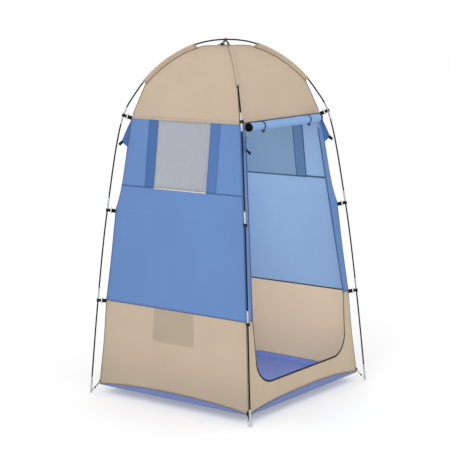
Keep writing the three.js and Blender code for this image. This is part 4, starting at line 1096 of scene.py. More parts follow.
def make_foot_strap(corner):
    """Tapered webbing from the tub's corner to the pin's link."""
    leg, _, strap_top, top, along, tangent = foot_link(corner)
    high = RIM_HEIGHT + 0.016
    start = leg.outward * (ROOT_TWO * corner_half(high) + STRAP_OUT) + (0, 0, high)
    normal = np.cross(tangent, along)
    path = [start, strap_top, strap_top - along * 0.008 + normal * 0.0006, top + along * 0.005 + normal * 0.0012]
    path += [top + along * x + normal * y for x, y in arc((0, 0), STRAP_FOLD, 1.2, 5.0, 9)]
    path += [top + along * 0.006 - normal * 0.0012]
    widths = [0.02, 0.02, 0.018, 0.009] + [0.0075] * 9 + [0.0085]
    strap = ribbon(f"foot_strap_{corner}", path, tangent, widths, ["webbing"], 0.0022)
    return finish_piece(strap)


def make_guy_tab(corner):
    """A cloth triangle on the corner seam that ends in a folded webbing loop."""
    leg = LEGS[corner]
    top, bottom = HEM - 0.012, HEM - 0.158
    tip_z = bottom + 0.022

    def seam(z):
        return ROOT_TWO * (corner_half(z) - float(seam_draw(z))) + 0.001

    def drift(reach):
        return GUY_LEANS[corner] * np.clip(reach, 0, None) ** 1.3 / GUY_REACH ** 0.3

    tip = np.array((seam(tip_z) + GUY_REACH, tip_z))
    rows = []
    for share in np.linspace(0, 1, 18):
        outer = np.array((seam(top), top)) * (1 - share) + (tip + (0, 0.004)) * share
        inner = np.array((seam(top), top)) * (1 - share) + np.array((seam(bottom), bottom)) * share
        inner[0] = seam(inner[1])
        outer[0] += 0.002 * math.sin(math.pi * share)
        line = [inner * (1 - t) + outer * t for t in np.linspace(0, 1, 12)]
        rows.append([leg.outward * r + (0, 0, z) for r, z in line])
    points = np.array(rows)
    bow = np.sin(np.linspace(0, math.pi, 12))[None, :] * np.linspace(0, 1, 18)[:, None]
    reach = points @ leg.outward - np.array([seam(z) for z in points[..., 2].ravel()]).reshape(bow.shape)
    points = points + leg.tangent * (0.0012 * bow + drift(reach))[..., None]
    tab = thicken(grid(f"guy_tab_{corner}", points, ["strip"]), 0.0011, inner=0)
    finish_piece(tab)
    declare(tab)
    away = np.array((0.72, -0.69))
    start = tip - away * 0.01
    path = [(start, 0.0009), (tip, 0.0011), (tip + away * 0.012, 0.0024)]
    path += [(tip + away * (0.0145 + 0.0022 * math.sin(t)), 0.0024 * math.cos(t)) for t in np.linspace(0.5, 2.6, 7)]
    path += [(tip + away * 0.012, -0.0024), (tip, -0.0011), (start, -0.0009)]
    centres = [leg.outward * p[0] + (0, 0, p[1]) + leg.tangent * (n + drift(p[0] - seam(p[1]))) for p, n in path]
    across = leg.outward * away[1] * -1 + np.array((0, 0, away[0]))
    loop = ribbon(f"guy_loop_{corner}", centres, across, 0.015, ["webbing"], WEBBING)
    return finish_piece(loop)


# Properties and operators

def number(name, description, default, most, least=0, measure="LENGTH"):
    return bpy.props.FloatProperty(name=name, description=description, default=default, min=least, max=most,
                                   unit=measure)


def tint(name, description, default):
    return bpy.props.FloatVectorProperty(name=name, description=description, default=default, size=3, min=0, max=1,
                                         subtype="COLOR")


class TentCloth(bpy.types.PropertyGroup):
    """Sizes of the cloth's folds, stitches and net."""

    seam_draw: number("Seam draw", "How far a corner seam draws in between its clips", 0.0065, 0.02)
    slack: number("Slack", "Depth of the soft hollows in the walls", 0.0026, 0.008)
    clip_fold: number("Clip folds", "Depth of the folds that fan out from a clip", 0.0012, 0.005)
    bend_fold: number("Bend fold", "Depth of the crease between the middle clips", 0.003, 0.005)
    pucker: number("Pucker", "Depth of the gathers beside a seam", 0.00035, 0.002)
    roof_saddle: number("Roof saddle", "How far the roof hollows between its ridges", 0.009, 0.03)
    roll_ripple: number("Roll ripple", "Depth of the ripples along a rolled sheet", 0.0007, 0.003)
    stitch_length: number("Stitch length", "Length of one stitch", 0.0036, 0.01, 0.001)
    stitch_pitch: number("Stitch pitch", "Distance from one stitch to the next", 0.0052, 0.02, 0.002)
    thread: number("Thread", "Thickness of the sewing thread", 0.0006, 0.002, 0.0002)
    net_pitch: number("Net pitch", "Distance between the strands of a window net", 0.0024, 0.01, 0.001)
    net_strand: number("Net strand", "Width of a strand of a window net", 0.0014, 0.005, 0.0003)
    tooth_pitch: number("Zip pitch", "Distance between the turns of the zip's coil", 0.0018, 0.006, 0.001)


class TentColours(bpy.types.PropertyGroup):
    """Colours of the cloths and fittings."""

    sand: tint("Sand", "Outer face of the roof and lower walls", (0.655, 0.54, 0.42))
    sand_inside: tint("Sand inside", "Inner face of the sand cloth", (0.69, 0.575, 0.425))
    blue: tint("Blue", "Outer face of the upper walls", (0.17, 0.315, 0.62))
    blue_inside: tint("Blue inside", "Inner face of the blue cloth", (0.295, 0.445, 0.635))
    strip: tint("Bands", "Darker bands beside the windows and the guy tabs", (0.064, 0.155, 0.40))
    # Painted light: a copy of the band colour, a shade lighter, for light falling on one band
    strip_pale: tint("Paler bands", "The band on the other side of a window", (0.086, 0.188, 0.45))
    cover: tint("Cover", "Window cover", (0.175, 0.285, 0.43))
    facing: tint("Facings", "Bands inside, beside the windows", (0.078, 0.163, 0.325))
    rolled: tint("Rolled door", "The face that a rolled door shows", (0.258, 0.438, 0.745))
    net: tint("Net", "Window net", (0.46, 0.47, 0.50))
    floor: tint("Floor", "Under side of the groundsheet", (0.155, 0.215, 0.46))
    floor_inside: tint("Floor inside", "Upper side of the groundsheet", (0.165, 0.237, 0.57))
    # Painted shade: folded seams are painted much darker than the blue cloth for the shade in the fold; the blue
    # stitches share this colour
    blue_seam: tint("Blue seam", "Folded seams of the blue cloth", (0.045, 0.10, 0.27))
    inner_seam: tint("Inner seam", "Bindings inside the blue cloth", (0.03, 0.075, 0.13))
    # Painted shade: folded seams and ridges are painted much darker than the sand cloth for the shade in the folds;
    # the sand stitches share this colour
    sand_seam: tint("Sand seam", "Folded seams of the sand cloth", (0.17, 0.125, 0.085))
    binding: tint("Binding", "Dark binding on the inner seams", (0.035, 0.045, 0.075))
    pale_binding: tint("Pale binding", "Binding under a window net", (0.75, 0.70, 0.62))
    tie_tape: tint("Tie tape", "Tapes that hold the rolled door", (0.03, 0.055, 0.15))
    black: tint("Black", "Rods, hooks, webbing and zip", (0.007, 0.007, 0.008))
    ring: tint("Rings", "Wire rings and zip sliders", (0.42, 0.42, 0.44))
    steel: tint("Steel", "Ferrules and foot pins", (0.50, 0.51, 0.53))


class TentStage(bpy.types.PropertyGroup):
    """Light and floor round the tent."""

    floor_colour: tint("Stage floor", "Colour of the studio floor", (0.72, 0.72, 0.72))
    floor_glow: number("Floor glow", "Light that comes up through the studio floor", 0.26, 2, measure="NONE")
    sky: number("Sky", "Strength of the even light from all round", 1.0, 5, measure="NONE")
    key: number("Key light", "Power of the large lamp in front", 110, 5000, measure="POWER")
    fill: number("Fill light", "Power of the lamp on the door's side", 9, 5000, measure="POWER")
    inner: number("Inner light", "Power of the soft lamps inside the tent", 9.2, 100, measure="POWER")


class TentOperator:
    bl_options = {"REGISTER", "UNDO"}

    def execute(self, context):
        self.build()
        return {"FINISHED"}


def area_lamp(name, place, aim, width, height, power):
    lamp = bpy.data.lights.new(name, "AREA")
    lamp.shape = "RECTANGLE"
    lamp.size, lamp.size_y = width, height
    lamp.energy = power
    thing = in_scene(name, lamp)
    thing.visible_camera = False
    thing.location = place
    thing.rotation_mode = "QUATERNION"
    thing.rotation_quaternion = (Vector(aim) - Vector(place)).to_track_quat("-Z", "Y")


class TENT_OT_stage(TentOperator, bpy.types.Operator):
    """Make the floor, the lights and the camera"""

    bl_idname = "tent.stage"
    bl_label = "Stage"

    def build(self):
        scene = bpy.context.scene
        stage = scene.tent_stage
        scene.view_settings.view_transform = "Standard"
        corners = [(x * STAGE_HALF, y * STAGE_HALF, 0) for x, y in ((-1, -1), (1, -1), (1, 1), (-1, 1))]
        floor_look, tree, shader = new_look("studio_floor", 0.8)
        tone = noise_on(tree, node(tree, "TexCoord", {}, "Object"), 0.7, 2.0, 0.985, 1.0)
        tree.links.new(shaded(tree, stage.floor_colour, tone), shader.inputs["Base Color"])
        shader.inputs["Emission Color"].default_value = (1, 1, 1, 1)
        shader.inputs["Emission Strength"].default_value = stage.floor_glow
        floor = make_object("studio_floor", corners, [(0, 1, 2, 3)], [])
        floor.data.materials.append(floor_look)
        world = bpy.data.worlds.new("studio")
        world.use_nodes = True
        sky = world.node_tree.nodes["Background"]
        sky.inputs["Color"].default_value = (1, 1, 1, 1)
        sky.inputs["Strength"].default_value = stage.sky
        scene.world = world
        area_lamp("key", (-5.5, -2.2, 4.6), (0, 0, 0.9), 3.5, 3.5, stage.key)
        area_lamp("fill", (1.8, -6.0, 3.2), (0, 0, 0.9), 3.0, 3.0, stage.fill)
        area_lamp("inner_low", (-0.37, 0.0, 0.36), (0.4, 0.0, 0.12), 0.3, 0.5, stage.inner * 0.48)
        area_lamp("inner_high", (-0.33, 0.0, 1.18), (0.4, 0.0, 1.3), 0.25, 0.4, stage.inner * 0.52)
        turn, rise, roll = (math.radians(angle) for angle in (CAMERA_TURN, CAMERA_RISE, CAMERA_ROLL))
        back = Vector((math.sin(turn) * math.cos(rise), -math.cos(turn) * math.cos(rise), math.sin(rise)))
        level = (-back).cross(Vector((0, 0, 1))).normalized()
        upright = level.cross(-back)
        right = level * math.cos(roll) + upright * math.sin(roll)
        up = upright * math.cos(roll) - level * math.sin(roll)
        camera = in_scene("camera", bpy.data.cameras.new("camera"))
        camera.data.lens = CAMERA_LENS
        place = Vector(CAMERA_AIM) + back * CAMERA_DISTANCE
        camera.matrix_world = frame_matrix(right, up, back, place)
        scene.camera = camera


def door_strip(name, sign):
    heights = joined_spans((LOW_SEAM + TOUCH, TRACK_TOP, 90), (TRACK_TOP, HEM - TOUCH, 7))
    inner = track_half(heights)[:, None] + ZIP_EDGE
    xs = sign * (inner + (wall_edge(heights)[:, None] - inner) * np.linspace(0, 1, 12))
    zs = np.broadcast_to(heights[:, None], xs.shape)
    wall_sheet(f"door_strip_{name}_cloth", "door", xs, zs, "blue", f"door_strip_{name}",
               flip=sign < 0)


class TENT_OT_upper_walls(TentOperator, bpy.types.Operator):
    """Make the blue walls with their windows' bands, and the blue strips beside the door"""

    bl_idname = "tent.upper_walls"
    bl_label = "Upper walls"

    def build(self):
        upper_wall("window_wall_left_cloth", "left", "window_wall_left", True)
        upper_wall("window_wall_right_cloth", "right", "window_wall_right", True)
        upper_wall("back_wall_cloth", "back", "back_wall_upper", False)
        for name in HANDS:
            window_bands(name)
        for name, sign in HANDS.items():
            door_strip(name, sign)


def window_bands(side):
    """The two darker bands beside a window, one painted a shade lighter as painted light."""
    for end, sign, finish in (("a", -1, "strip"), ("b", 1, "strip_pale")):
        band = wall_patch(f"window_band_{side}_{end}", side, STRIP_WIDTH / 2, SILL + 0.001, HEM - 0.002, 0.0008,
                          [finish], 12, 40, sign * (MESH_HALF + STRIP_WIDTH / 2 + 0.0005))
        declare(band)


def door_wall():
    """The wall round the foot of the door, from its zip out to the corners and the tub's rim."""
    straight, bend, sill = 14, 16, 22
    side_half = float(track_half(LOW_SEAM)) - SIDE_LEAN
    centre = (side_half - DOOR_CORNER, DOOR_SILL + DOOR_CORNER)
    inner = [(side_half + SIDE_LEAN * (1 - share), LOW_SEAM - TOUCH + (centre[1] - LOW_SEAM) * share, 1, 0)
             for share in np.arange(straight) / straight]
    inner += door_bend(centre, bend)[:-1]
    inner += [(centre[0] * (1 - k / sill), DOOR_SILL, 0, -1) for k in range(sill + 1)]
    inner = [(x + ZIP_EDGE * ax, z + ZIP_EDGE * az) for x, z, ax, az in inner]
    upright = straight + bend // 2
    heights = LOW_SEAM - TOUCH + (RIM_HEIGHT + TOUCH - LOW_SEAM) * np.arange(upright) / upright
    outer = [(float(wall_edge(z)), z) for z in heights]
    for x in np.linspace(float(wall_edge(RIM_HEIGHT + TOUCH)), 0, len(inner) - upright):
        outer.append((x, float(tub_rim("door", x)) + TOUCH))
    inner, outer = np.array(inner), np.array(outer)
    half = inner + (outer - inner) * np.linspace(0, 1, 14)[:, None, None]
    flat = np.concatenate([half, half[:, -2::-1] * (-1, 1)], axis=1)
    wall_sheet("door_lower_cloth", "door", flat[..., 0], flat[..., 1], "sand", "door_wall_lower",
               flip=True)


class TENT_OT_lower_walls(TentOperator, bpy.types.Operator):
    """Make the sand-coloured lower walls, with the cut for the door"""

    bl_idname = "tent.lower_walls"
    bl_label = "Lower walls"

    def build(self):
        for side in ("left", "right", "back"):
            lower_wall(side)
        door_wall()


def door_bend(centre, count):
    """Places and outward directions round a lower corner of the door, from its side to its sill."""
    turns = [math.pi / 2 * k / count for k in range(count + 1)]
    return [(centre[0] + DOOR_CORNER * math.cos(t), centre[1] - DOOR_CORNER * math.sin(t), math.cos(t), -math.sin(t))
            for t in turns]


def inner_bands(side):
    """The darker facings inside, one on each side of the window, with piped edges."""
    for end, sign in (("a", -1), ("b", 1)):
        centre = sign * (MESH_HALF + STRIP_WIDTH / 2)
        band = wall_patch(f"inner_band_{side}_{end}", side, STRIP_WIDTH / 2, COVER_LOW + 0.002, HEM - 0.002,
                          -0.0028, ["facing"], 12, 40, centre)
        declare(band)
        zs = np.linspace(COVER_LOW + 0.002, HEM - 0.002, 40)
        edges = [tube("piping", on_wall(side, centre + reach, -0.0036, zs), 0.0016, ["inner_seam"], 8)
                 for reach in (-STRIP_WIDTH / 2, STRIP_WIDTH / 2)]
        finish_piece(join_pieces(f"inner_piping_{side}_{end}", edges))


class TENT_OT_windows(TentOperator, bpy.types.Operator):
    """Make the window nets and their covers"""

    bl_idname = "tent.windows"
    bl_label = "Windows"

    def build(self):
        for side in ("left", "right"):
            net_panel(side)
            wall_patch(f"net_binding_{side}", side, MESH_HALF, SILL - 0.0045, SILL + 0.001, 0.0009,
                       ["pale_binding"], 40, 3)
            inner_bands(side)
        half = MESH_HALF + STRIP_WIDTH
        cover = wall_patch("window_cover", "right", half, COVER_LOW, HEM - 0.001, -0.0016,
                           ["cover"], 50, 40)
        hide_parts("window_cover_closed")
        wall_patch("cover_binding", "right", half, COVER_LOW - 0.001, COVER_LOW + 0.007, -0.0036,
                   ["inner_seam"], 60, 3)
        declare(cover)
        height = HEM - COVER_RADIUS - 0.0013
        depth = float(corner_half(height)) - SKIN - TOUCH - COVER_RADIUS
        roll = rolled_sheet("window_cover_roll", (0, -depth, height), COVER_RADIUS - 0.0008, half - 0.002,
                            HEM - COVER_LOW, ["cover", "cover"],
                            (-depth + COVER_RADIUS, HEM - 0.0008), (-0.12, 0.12))
        reshape(roll, lambda points: turned("left", points))
        finish_piece(roll, ["window_cover_rolled"])
        declare(roll)


class TENT_OT_pocket(TentOperator, bpy.types.Operator):
    """Make the pocket inside the lower wall"""

    bl_idname = "tent.pocket"
    bl_label = "Pocket"

    def build(self):
        def belly(share, rise):
            return -POCKET_BELLY * (1 - share ** 4) * np.sin(np.clip(rise, 0, 1) * math.pi / 2) ** 0.8

        low = LOW_SEAM - POCKET_HEIGHT
        pocket = wall_patch("pocket_cloth", "left", POCKET_HALF, low, LOW_SEAM - SKIN, -0.0013, two_faced("sand"),
                            44, 30, belly=belly)
        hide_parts("pocket")
        declare(pocket)


def hem_band():
    shares = np.linspace(-1, 1, 61)[:-1]
    rings = []
    for z, out in ((HEM - 0.009, 0.0012), (HEM - 0.003, 0.0016), (HEM + 0.004, 0.0013)):
        half = float(corner_half(min(z, HEM))) + out
        rings.append(around(lambda side: (shares * half, -half, z)))
    band = thicken(grid("roof_hem", np.array(rings), two_faced("sand"), wrap=True), 0.0008)
    finish_piece(band)
    declare(band)


def pole_sleeve(corner):
    """A sleeve of cloth round the pole, sewn down along the ridge."""
    leg = LEGS[corner]
    start, end = (leg.at_radius(reach) for reach in SLEEVE_REACHES)
    last = 39
    rows, feet = [], {1: [], -1: []}
    for k, distance in enumerate(np.linspace(start, end, last + 1)):
        middle = leg.point(distance)[0]
        inward = np.cross(leg.tangent, leg.direction(distance))
        if inward @ leg.outward > 0:
            inward = -inward
        slant = leg.direction(distance) * 0.012 * (k / last) ** 6
        reach = ridge_gap(leg, middle + slant, inward)
        radius = SLEEVE_RADIUS * (1 + 0.12 * (math.exp(-k / 1.5) + math.exp(-(last - k) / 1.5)))
        wave = 0.0007 * math.sin(k * 1.1) + 0.0005 * math.sin(k * 2.3)
        foot = middle + slant + inward * (reach - 0.0006)
        for side in (1, -1):
            feet[side].append(foot + leg.tangent * side * 0.0052 + inward * 0.0022)
        shares = np.linspace(0, 1, 7)[:-1, None]
        spread = SLEEVE_WAIST + (radius - SLEEVE_WAIST) * shares ** 1.6 + 0.0026 * (1 - shares) ** 8
        spread = leg.tangent * (spread + wave * np.sin(math.pi * shares))
        centre = foot + (middle - foot) * shares
        cap = [middle - inward * y + leg.tangent * x for x, y in arc((0, 0), radius, 0, math.pi, 11)]
        rows.append([*(centre + spread), *cap, *(centre - spread)[::-1]])
    sleeve = thicken(grid(f"sleeve_{corner}", np.array(rows), two_faced("sand")))
    face_away(sleeve, leg.point((start + end) / 2)[0])
    lines = list(feet.values()) + [rows[1], rows[-2]]
    # Dark seam tubes along the sleeve's feet and ends: painted shade where the sleeve meets the roof
    seams = [tube("seam", line, 0.0014, ["sand_seam"], 8) for line in lines]
    finish_piece(join_pieces(f"sleeve_seams_{corner}", seams))
    finish_piece(sleeve)
    declare(sleeve)


def roof_ridge(corner):
    """The folded seam up one ridge of the roof."""
    leg = LEGS[corner]
    heights = roof_heights(HEM, np.linspace(0.03, 0.985, 70))
    radii = ROOT_TWO * roof_half(heights)
    heights = heights + ridge_lift(radii / ROOT_TWO, leg.pole)
    line = [leg.outward * (r + 0.0004) + (0, 0, z + 0.0004) for r, z in zip(radii, heights)]
    # The ridge's dark colour is painted shade along the fold
    seam = tube(f"roof_ridge_{corner}", line, 0.0027, ["sand_seam"], 8,
                squash=0.6, axis=leg.outward + (0, 0, 1))
    finish_piece(seam)


class TENT_OT_roof(TentOperator, bpy.types.Operator):
    """Make the domed roof, its hem, ridges and pole sleeves"""

    bl_idname = "tent.roof"
    bl_label = "Roof"

    def build(self):
        heights = roof_heights(HEM + TOUCH, np.linspace(0, 1, 44) ** 1.15)[:-1]
        shares = joined_spans((-1, -0.94, 5), (-0.94, 0.94, 33), (0.94, 1, 5))[:-1]
        hollows = sizes().roof_saddle * np.sin(np.clip((heights - HEM) / (ROOF_TOP - HEM), 0, 1) * math.pi) ** 0.8
        rings = []
        for z, half, hollow in zip(heights, roof_half(heights), hollows):
            depth = half - hollow * (1 - shares ** 2) + pucker(shares * half, z - HEM, 2.2)

            def place(side):
                over = (shares > 0) == (side in ("door", "back"))
                lift = np.where(over, ridge_lift(half, "over"), ridge_lift(half, "under")) * np.abs(shares) ** 6
                return shares * half, -depth, z + lift

            rings.append(around(place))
        roof = grid("roof_cloth", np.array(rings), two_faced("sand"), wrap=True, cap=True)
        for edge in roof.data.edges:
            a, b = (roof.data.vertices[v].co for v in edge.vertices)
            on_ridge = all(abs(abs(p.x) - abs(p.y)) < 1e-6 for p in (a, b))
            edge.use_edge_sharp = on_ridge and abs(a.z - b.z) > 1e-6
        finish_piece(thicken(roof), ["roof_canopy"])
        declare(roof)
        hem_band()
        for corner in CORNERS:
            pole_sleeve(corner)
            roof_ridge(corner)


def ridge_gap(leg, middle, inward):
    """How far in from the pole the roof's ridge lies."""
    near, far = 0.0, float(np.linalg.norm(middle - (0, 0, HEM)))
    for _ in range(40):
        half_way = (near + far) / 2
        test = middle + inward * half_way
        half = math.hypot(test[0], test[1]) / ROOT_TWO
        if half > float(roof_half(test[2] - ridge_lift(half, leg.pole))):
            near = half_way
        else:
            far = half_way
    return near


def corner_seam(corner):
    leg = LEGS[corner]
    stretches = {"upper": (LOW_SEAM + 0.0002, HEM - 0.001, "blue_seam", "blue_fabric"),
                 "lower": (RIM_HEIGHT + 0.001, LOW_SEAM - 0.0002, "sand_seam", "sand_fabric")}
    for stretch, (low, high, finish, slot) in stretches.items():
        heights = np.linspace(low, high, 90)
        pull = sum(np.exp(-np.abs(heights - z) / 0.012) for z in (LOW_SEAM, MID_BEND, HEM))
        radii = ROOT_TWO * (corner_half(heights) - seam_draw(heights)) - 0.0006 + 0.0011 * pull
        line = leg.outward * radii[:, None] + row(0, 0, heights)
        seam = tube(f"corner_seam_{corner}_{stretch}", line, 0.0019, [finish], 10,
                    squash=1.25, axis=leg.outward)
        finish_piece(seam, [f"corner_seam_{corner}"] if stretch == "upper" else ())


def level_seam(side, name, z, finish, radius, gap=0.0):
    """A folded seam across one side, broken at the window if it has a gap."""
    edge = float(wall_edge(z)) - 0.001
    spans = [(-edge, -gap - 0.001), (gap + 0.001, edge)] if gap else [(-edge, edge)]
    lines = [on_wall(side, np.linspace(*span, max(20, int((span[1] - span[0]) / 0.008))), SEAM_OUT, z)
             for span in spans]
    parts = [tube("fold", line, radius, [finish], 8, squash=0.4, axis=turned(side, (0, -1, 0))) for line in lines]
    finish_piece(join_pieces(f"{name}_seam_{side}", parts))


def inner_binding(side, name, z, finish, half):
    edge = float(wall_edge(z)) - 0.003
    wall_patch(f"{name}_binding_{side}", side, edge, z - half, z + half, -0.0012, [finish],
               110, 3)


def rim_seam(side):
    """The seam where the lower wall meets the floor's rim."""
    edge = float(wall_edge(RIM_HEIGHT)) - 0.002
    xs = np.linspace(-edge, edge, 120)
    line = on_wall(side, xs, SEAM_OUT, tub_rim(side, xs) + TOUCH)
    seam = tube(f"rim_seam_{side}", line, 0.0019, ["sand_seam"], 8, squash=0.6,
                axis=turned(side, (0, -1, 0)))
    finish_piece(seam)


def door_seam(name, sign):
    """The short seam between the blue strip and the sand cloth beside the door."""
    xs = sign * np.linspace(float(track_half(LOW_SEAM)) + 0.011, float(wall_edge(LOW_SEAM)) - 0.001, 12)
    line = on_wall("door", xs, SEAM_OUT, LOW_SEAM - 0.0004)
    seam = tube(f"door_seam_{name}", line, 0.0016, ["blue_seam"], 8, squash=0.55, axis=(0, -1, 0))
    finish_piece(seam)


class TENT_OT_seams(TentOperator, bpy.types.Operator):
    """Make the folded corner seams and the seams and bindings across the walls"""

    bl_idname = "tent.seams"
    bl_label = "Seams"

    def build(self):
        for corner in CORNERS:
            corner_seam(corner)
        for side in ("left", "right", "back"):
            # The folds' dark blue is painted shade in the fold
            level_seam(side, "low", LOW_SEAM, "blue_seam", 0.0017)
            inner_binding(side, "low", LOW_SEAM, "dark_binding", 0.0035)
        for side in ("left", "right"):
            level_seam(side, "sill", SILL - 0.001, "blue_seam", 0.0028, MESH_HALF)
            inner_binding(side, "sill", SILL + 0.002, "inner_seam", 0.005)
        for side in SIDES:
            rim_seam(side)
        for name, sign in HANDS.items():
            door_seam(name, sign)


def level_row(side, z, sign=0):
    """A level row across one side, or on one side of its window."""
    edge = float(wall_edge(z)) - 0.004
    start = MESH_HALF + 0.004 if sign else -edge
    return on_wall(side, np.linspace(start, edge, 120) * (sign or 1), STITCH_OUT, z)


def rim_rows(side):
    edge = float(wall_edge(RIM_HEIGHT)) - 0.006
    xs = np.linspace(-edge, edge, 120)
    return [on_wall(side, xs, STITCH_OUT, tub_rim(side, xs) + lift) for lift in (0.005, 0.0085)]


class TENT_OT_stitching(TentOperator, bpy.types.Operator):
    """Sew rows of stitches beside the seams, the windows, the pocket and the zip, and along the hem"""

    bl_idname = "tent.stitching"
    bl_label = "Stitching"

    def build(self):
        for side in ("left", "right", "back"):
            facing = turned(side, (0, -1, 0.1))
            blue = [level_row(side, LOW_SEAM + lift) for lift in (0.0045, 0.0085)]
            if side != "back":
                blue += [level_row(side, SILL + lift, sign) for lift in (0.0035, -0.0055) for sign in (-1, 1)]
                zs = np.linspace(SILL + 0.004, HEM - 0.012, 60)
                blue += [on_wall(side, sign * place, 0.0014, zs) for sign in (-1, 1)
                         for place in (MESH_HALF + 0.004, MESH_HALF + STRIP_WIDTH - 0.003)]
            stitches(f"stitches_{side}_blue", blue, facing, "blue_seam")
            sand = [level_row(side, LOW_SEAM - 0.0045)] + rim_rows(side)
            if side == "left":
                half, low = POCKET_HALF - 0.003, LOW_SEAM - POCKET_HEIGHT + 0.003
                zs = np.linspace(low, LOW_SEAM - 0.006, 40)
                sand += [on_wall(side, sign * half, STITCH_OUT, zs) for sign in (-1, 1)]
                sand.append(on_wall(side, np.linspace(-half, half, 60), STITCH_OUT, low))
            stitches(f"stitches_{side}_sand", sand, facing, "sand_seam")
        x, z, ax, az = np.array(track_line(0.02)).T
        door = rim_rows("door") + [on_wall("door", x + 0.008 * ax, 0.0012, z + 0.008 * az)]
        stitches("stitches_door", door, (0, -1, 0.1), "dark_binding")
        line = row(np.linspace(-0.35, 0.35, 80), -HEM_HALF - 0.0022, HEM - 0.004)
        hem = [turned(side, line) for side in SIDES_ROUND]
        stitches("stitches_hem", hem, (0, 0, 1), "sand_seam")


def track_line(step):
    """Places and outward directions along the zip, from its right top round the sill to its left top."""
    right = [(float(track_half(z)), float(z), 1.0, 0.0) for z in np.arange(TRACK_TOP, LOW_SEAM, -step)]
    side_half = float(track_half(LOW_SEAM)) - SIDE_LEAN
    centre = (side_half - DOOR_CORNER, DOOR_SILL + DOOR_CORNER)
    drop = LOW_SEAM - centre[1]
    for z in np.arange(LOW_SEAM, centre[1] + step / 2, -step):
        right.append((side_half + SIDE_LEAN * (z - centre[1]) / drop, float(z), 1.0, 0.0))
    right += door_bend(centre, max(8, int(DOOR_CORNER * math.pi / 2 / step)))
    right += [(float(x), DOOR_SILL, 0.0, -1.0) for x in np.arange(centre[0] - step, 0, -step)]
    left = [(-x, z, -ax, az) for x, z, ax, az in right[::-1]]
    return right + [(0.0, DOOR_SILL, 0.0, -1.0)] + left


def zip_slider(name, sign):
    """A slider with two plates, a neck between them and a pull that hangs on its bridge."""
    top = on_wall("door", sign * float(track_half(TRACK_TOP)), 0, TRACK_TOP)
    foot = on_wall("door", sign * float(track_half(LOW_SEAM)), 0, LOW_SEAM)
    up = unit(top - foot)
    across = unit(np.array((sign, 0, 0)) - up * sign * up[0])
    out = np.cross(across, up) * sign
    origin = top - up * (0.007 + TOUCH)
    body = [(-0.0035, -0.007), (0.0032, -0.007), (0.0038, 0.001), (0.0045, 0.0052), (0.0022, 0.007),
            (-0.0022, 0.007), (-0.0045, 0.0052), (-0.0038, 0.001)]
    parts = [prism("plate", body, SLIDER_PLATE, "ring", 0.0003, lift) for lift in (-0.0023, 0.0023)]
    neck = [(-0.0008, 0.002), (0.0008, 0.002), (0.0008, 0.0062), (-0.0008, 0.0062)]
    bridge = [(0, y, 0.0028 + 0.0016 * math.sin(t))
              for y, t in zip(np.linspace(-0.004, 0.004, 9), np.linspace(0, math.pi, 9))]
    pull = [(x, y + 0.0005) for x, y in ((-0.0022, 0), (0.0022, 0), (0.003, -0.012), (0.0034, -0.019),
                                         (0.0015, -0.0215), (-0.0015, -0.0215), (-0.0034, -0.019),
                                         (-0.003, -0.012))]
    parts += [prism("neck", neck, 0.0046, "ring", 0.0002), tube("bridge", bridge, 0.0006, ["ring"], 8),
              prism("pull", pull, SLIDER_PLATE, "ring", 0.0003, 0.0047)]
    slider = join_pieces(f"slider_{name}", parts)
    moved(slider, origin + across * 0.0014, across * sign, up, out * sign)
    face_outward(slider)
    finish_piece(slider, [f"zip_slider_{name}"], f"slider_{name}")


class TENT_OT_door_zip(TentOperator, bpy.types.Operator):
    """Make the zip's tape and coil round the door, and its two sliders"""

    bl_idname = "tent.door_zip"
    bl_label = "Door zip"

    def build(self):
        x, z, ax, az = np.array(track_line(0.008)).T
        arc_top = DOOR_SILL + DOOR_CORNER
        share = np.interp(z, (arc_top, LOW_SEAM - 0.02, LOW_SEAM), (0.8, 0.55, 1))
        rows = [on_wall("door", x + shift * share * ax, SEAM_OUT + 0.0003 * (shift < 0.001), z + shift * share * az)
                for shift in (0.0008, 0.003, 0.006, TAPE_WIDTH - 0.001)]

        def tape_look(_, column):
            """Navy beside the strips, brown down the sand cloth and black round the arcs and the sill."""
            if z[column] > LOW_SEAM:
                return 1
            return 0 if z[column] < arc_top else 2

        tape = grid("zip_tape", np.array(rows), ["zip", "blue_seam", "sand_seam"], pick=tape_look, flip=True)
        thicken(tape, inner=0)
        finish_piece(tape, ["door_zip_tape"])
        tooth = tube("tooth", [(0, s * 0.0017, 0.0004 - 0.0005 * abs(s)) for s in np.linspace(-1, 1, 5)],
                     [0.0003, 0.0007, 0.0008, 0.0007, 0.0003], [], 6)
        line = on_wall("door", x, 0.0002, z)
        coil = copies_along("zip_coil", [line], tooth, sizes().tooth_pitch, (0, -1, 0.08), "coil")
        finish_piece(coil)
        for name, sign in HANDS.items():
            zip_slider(name, sign)


def door_toggle(name, place):
    """A barrel toggle with a waist."""
    line = TOGGLE_WAIST + tuple((-share, radius) for share, radius in TOGGLE_WAIST[-2::-1])
    centres = [place + (share * TOGGLE_LENGTH / 2, 0, 0) for share, _ in line]
    toggle = tube(f"toggle_{name}", centres, [TOGGLE_RADIUS * radius for _, radius in line], ["plastic"], 20)
    finish_piece(toggle, [f"door_toggle_{name}"], f"toggle_{name}")


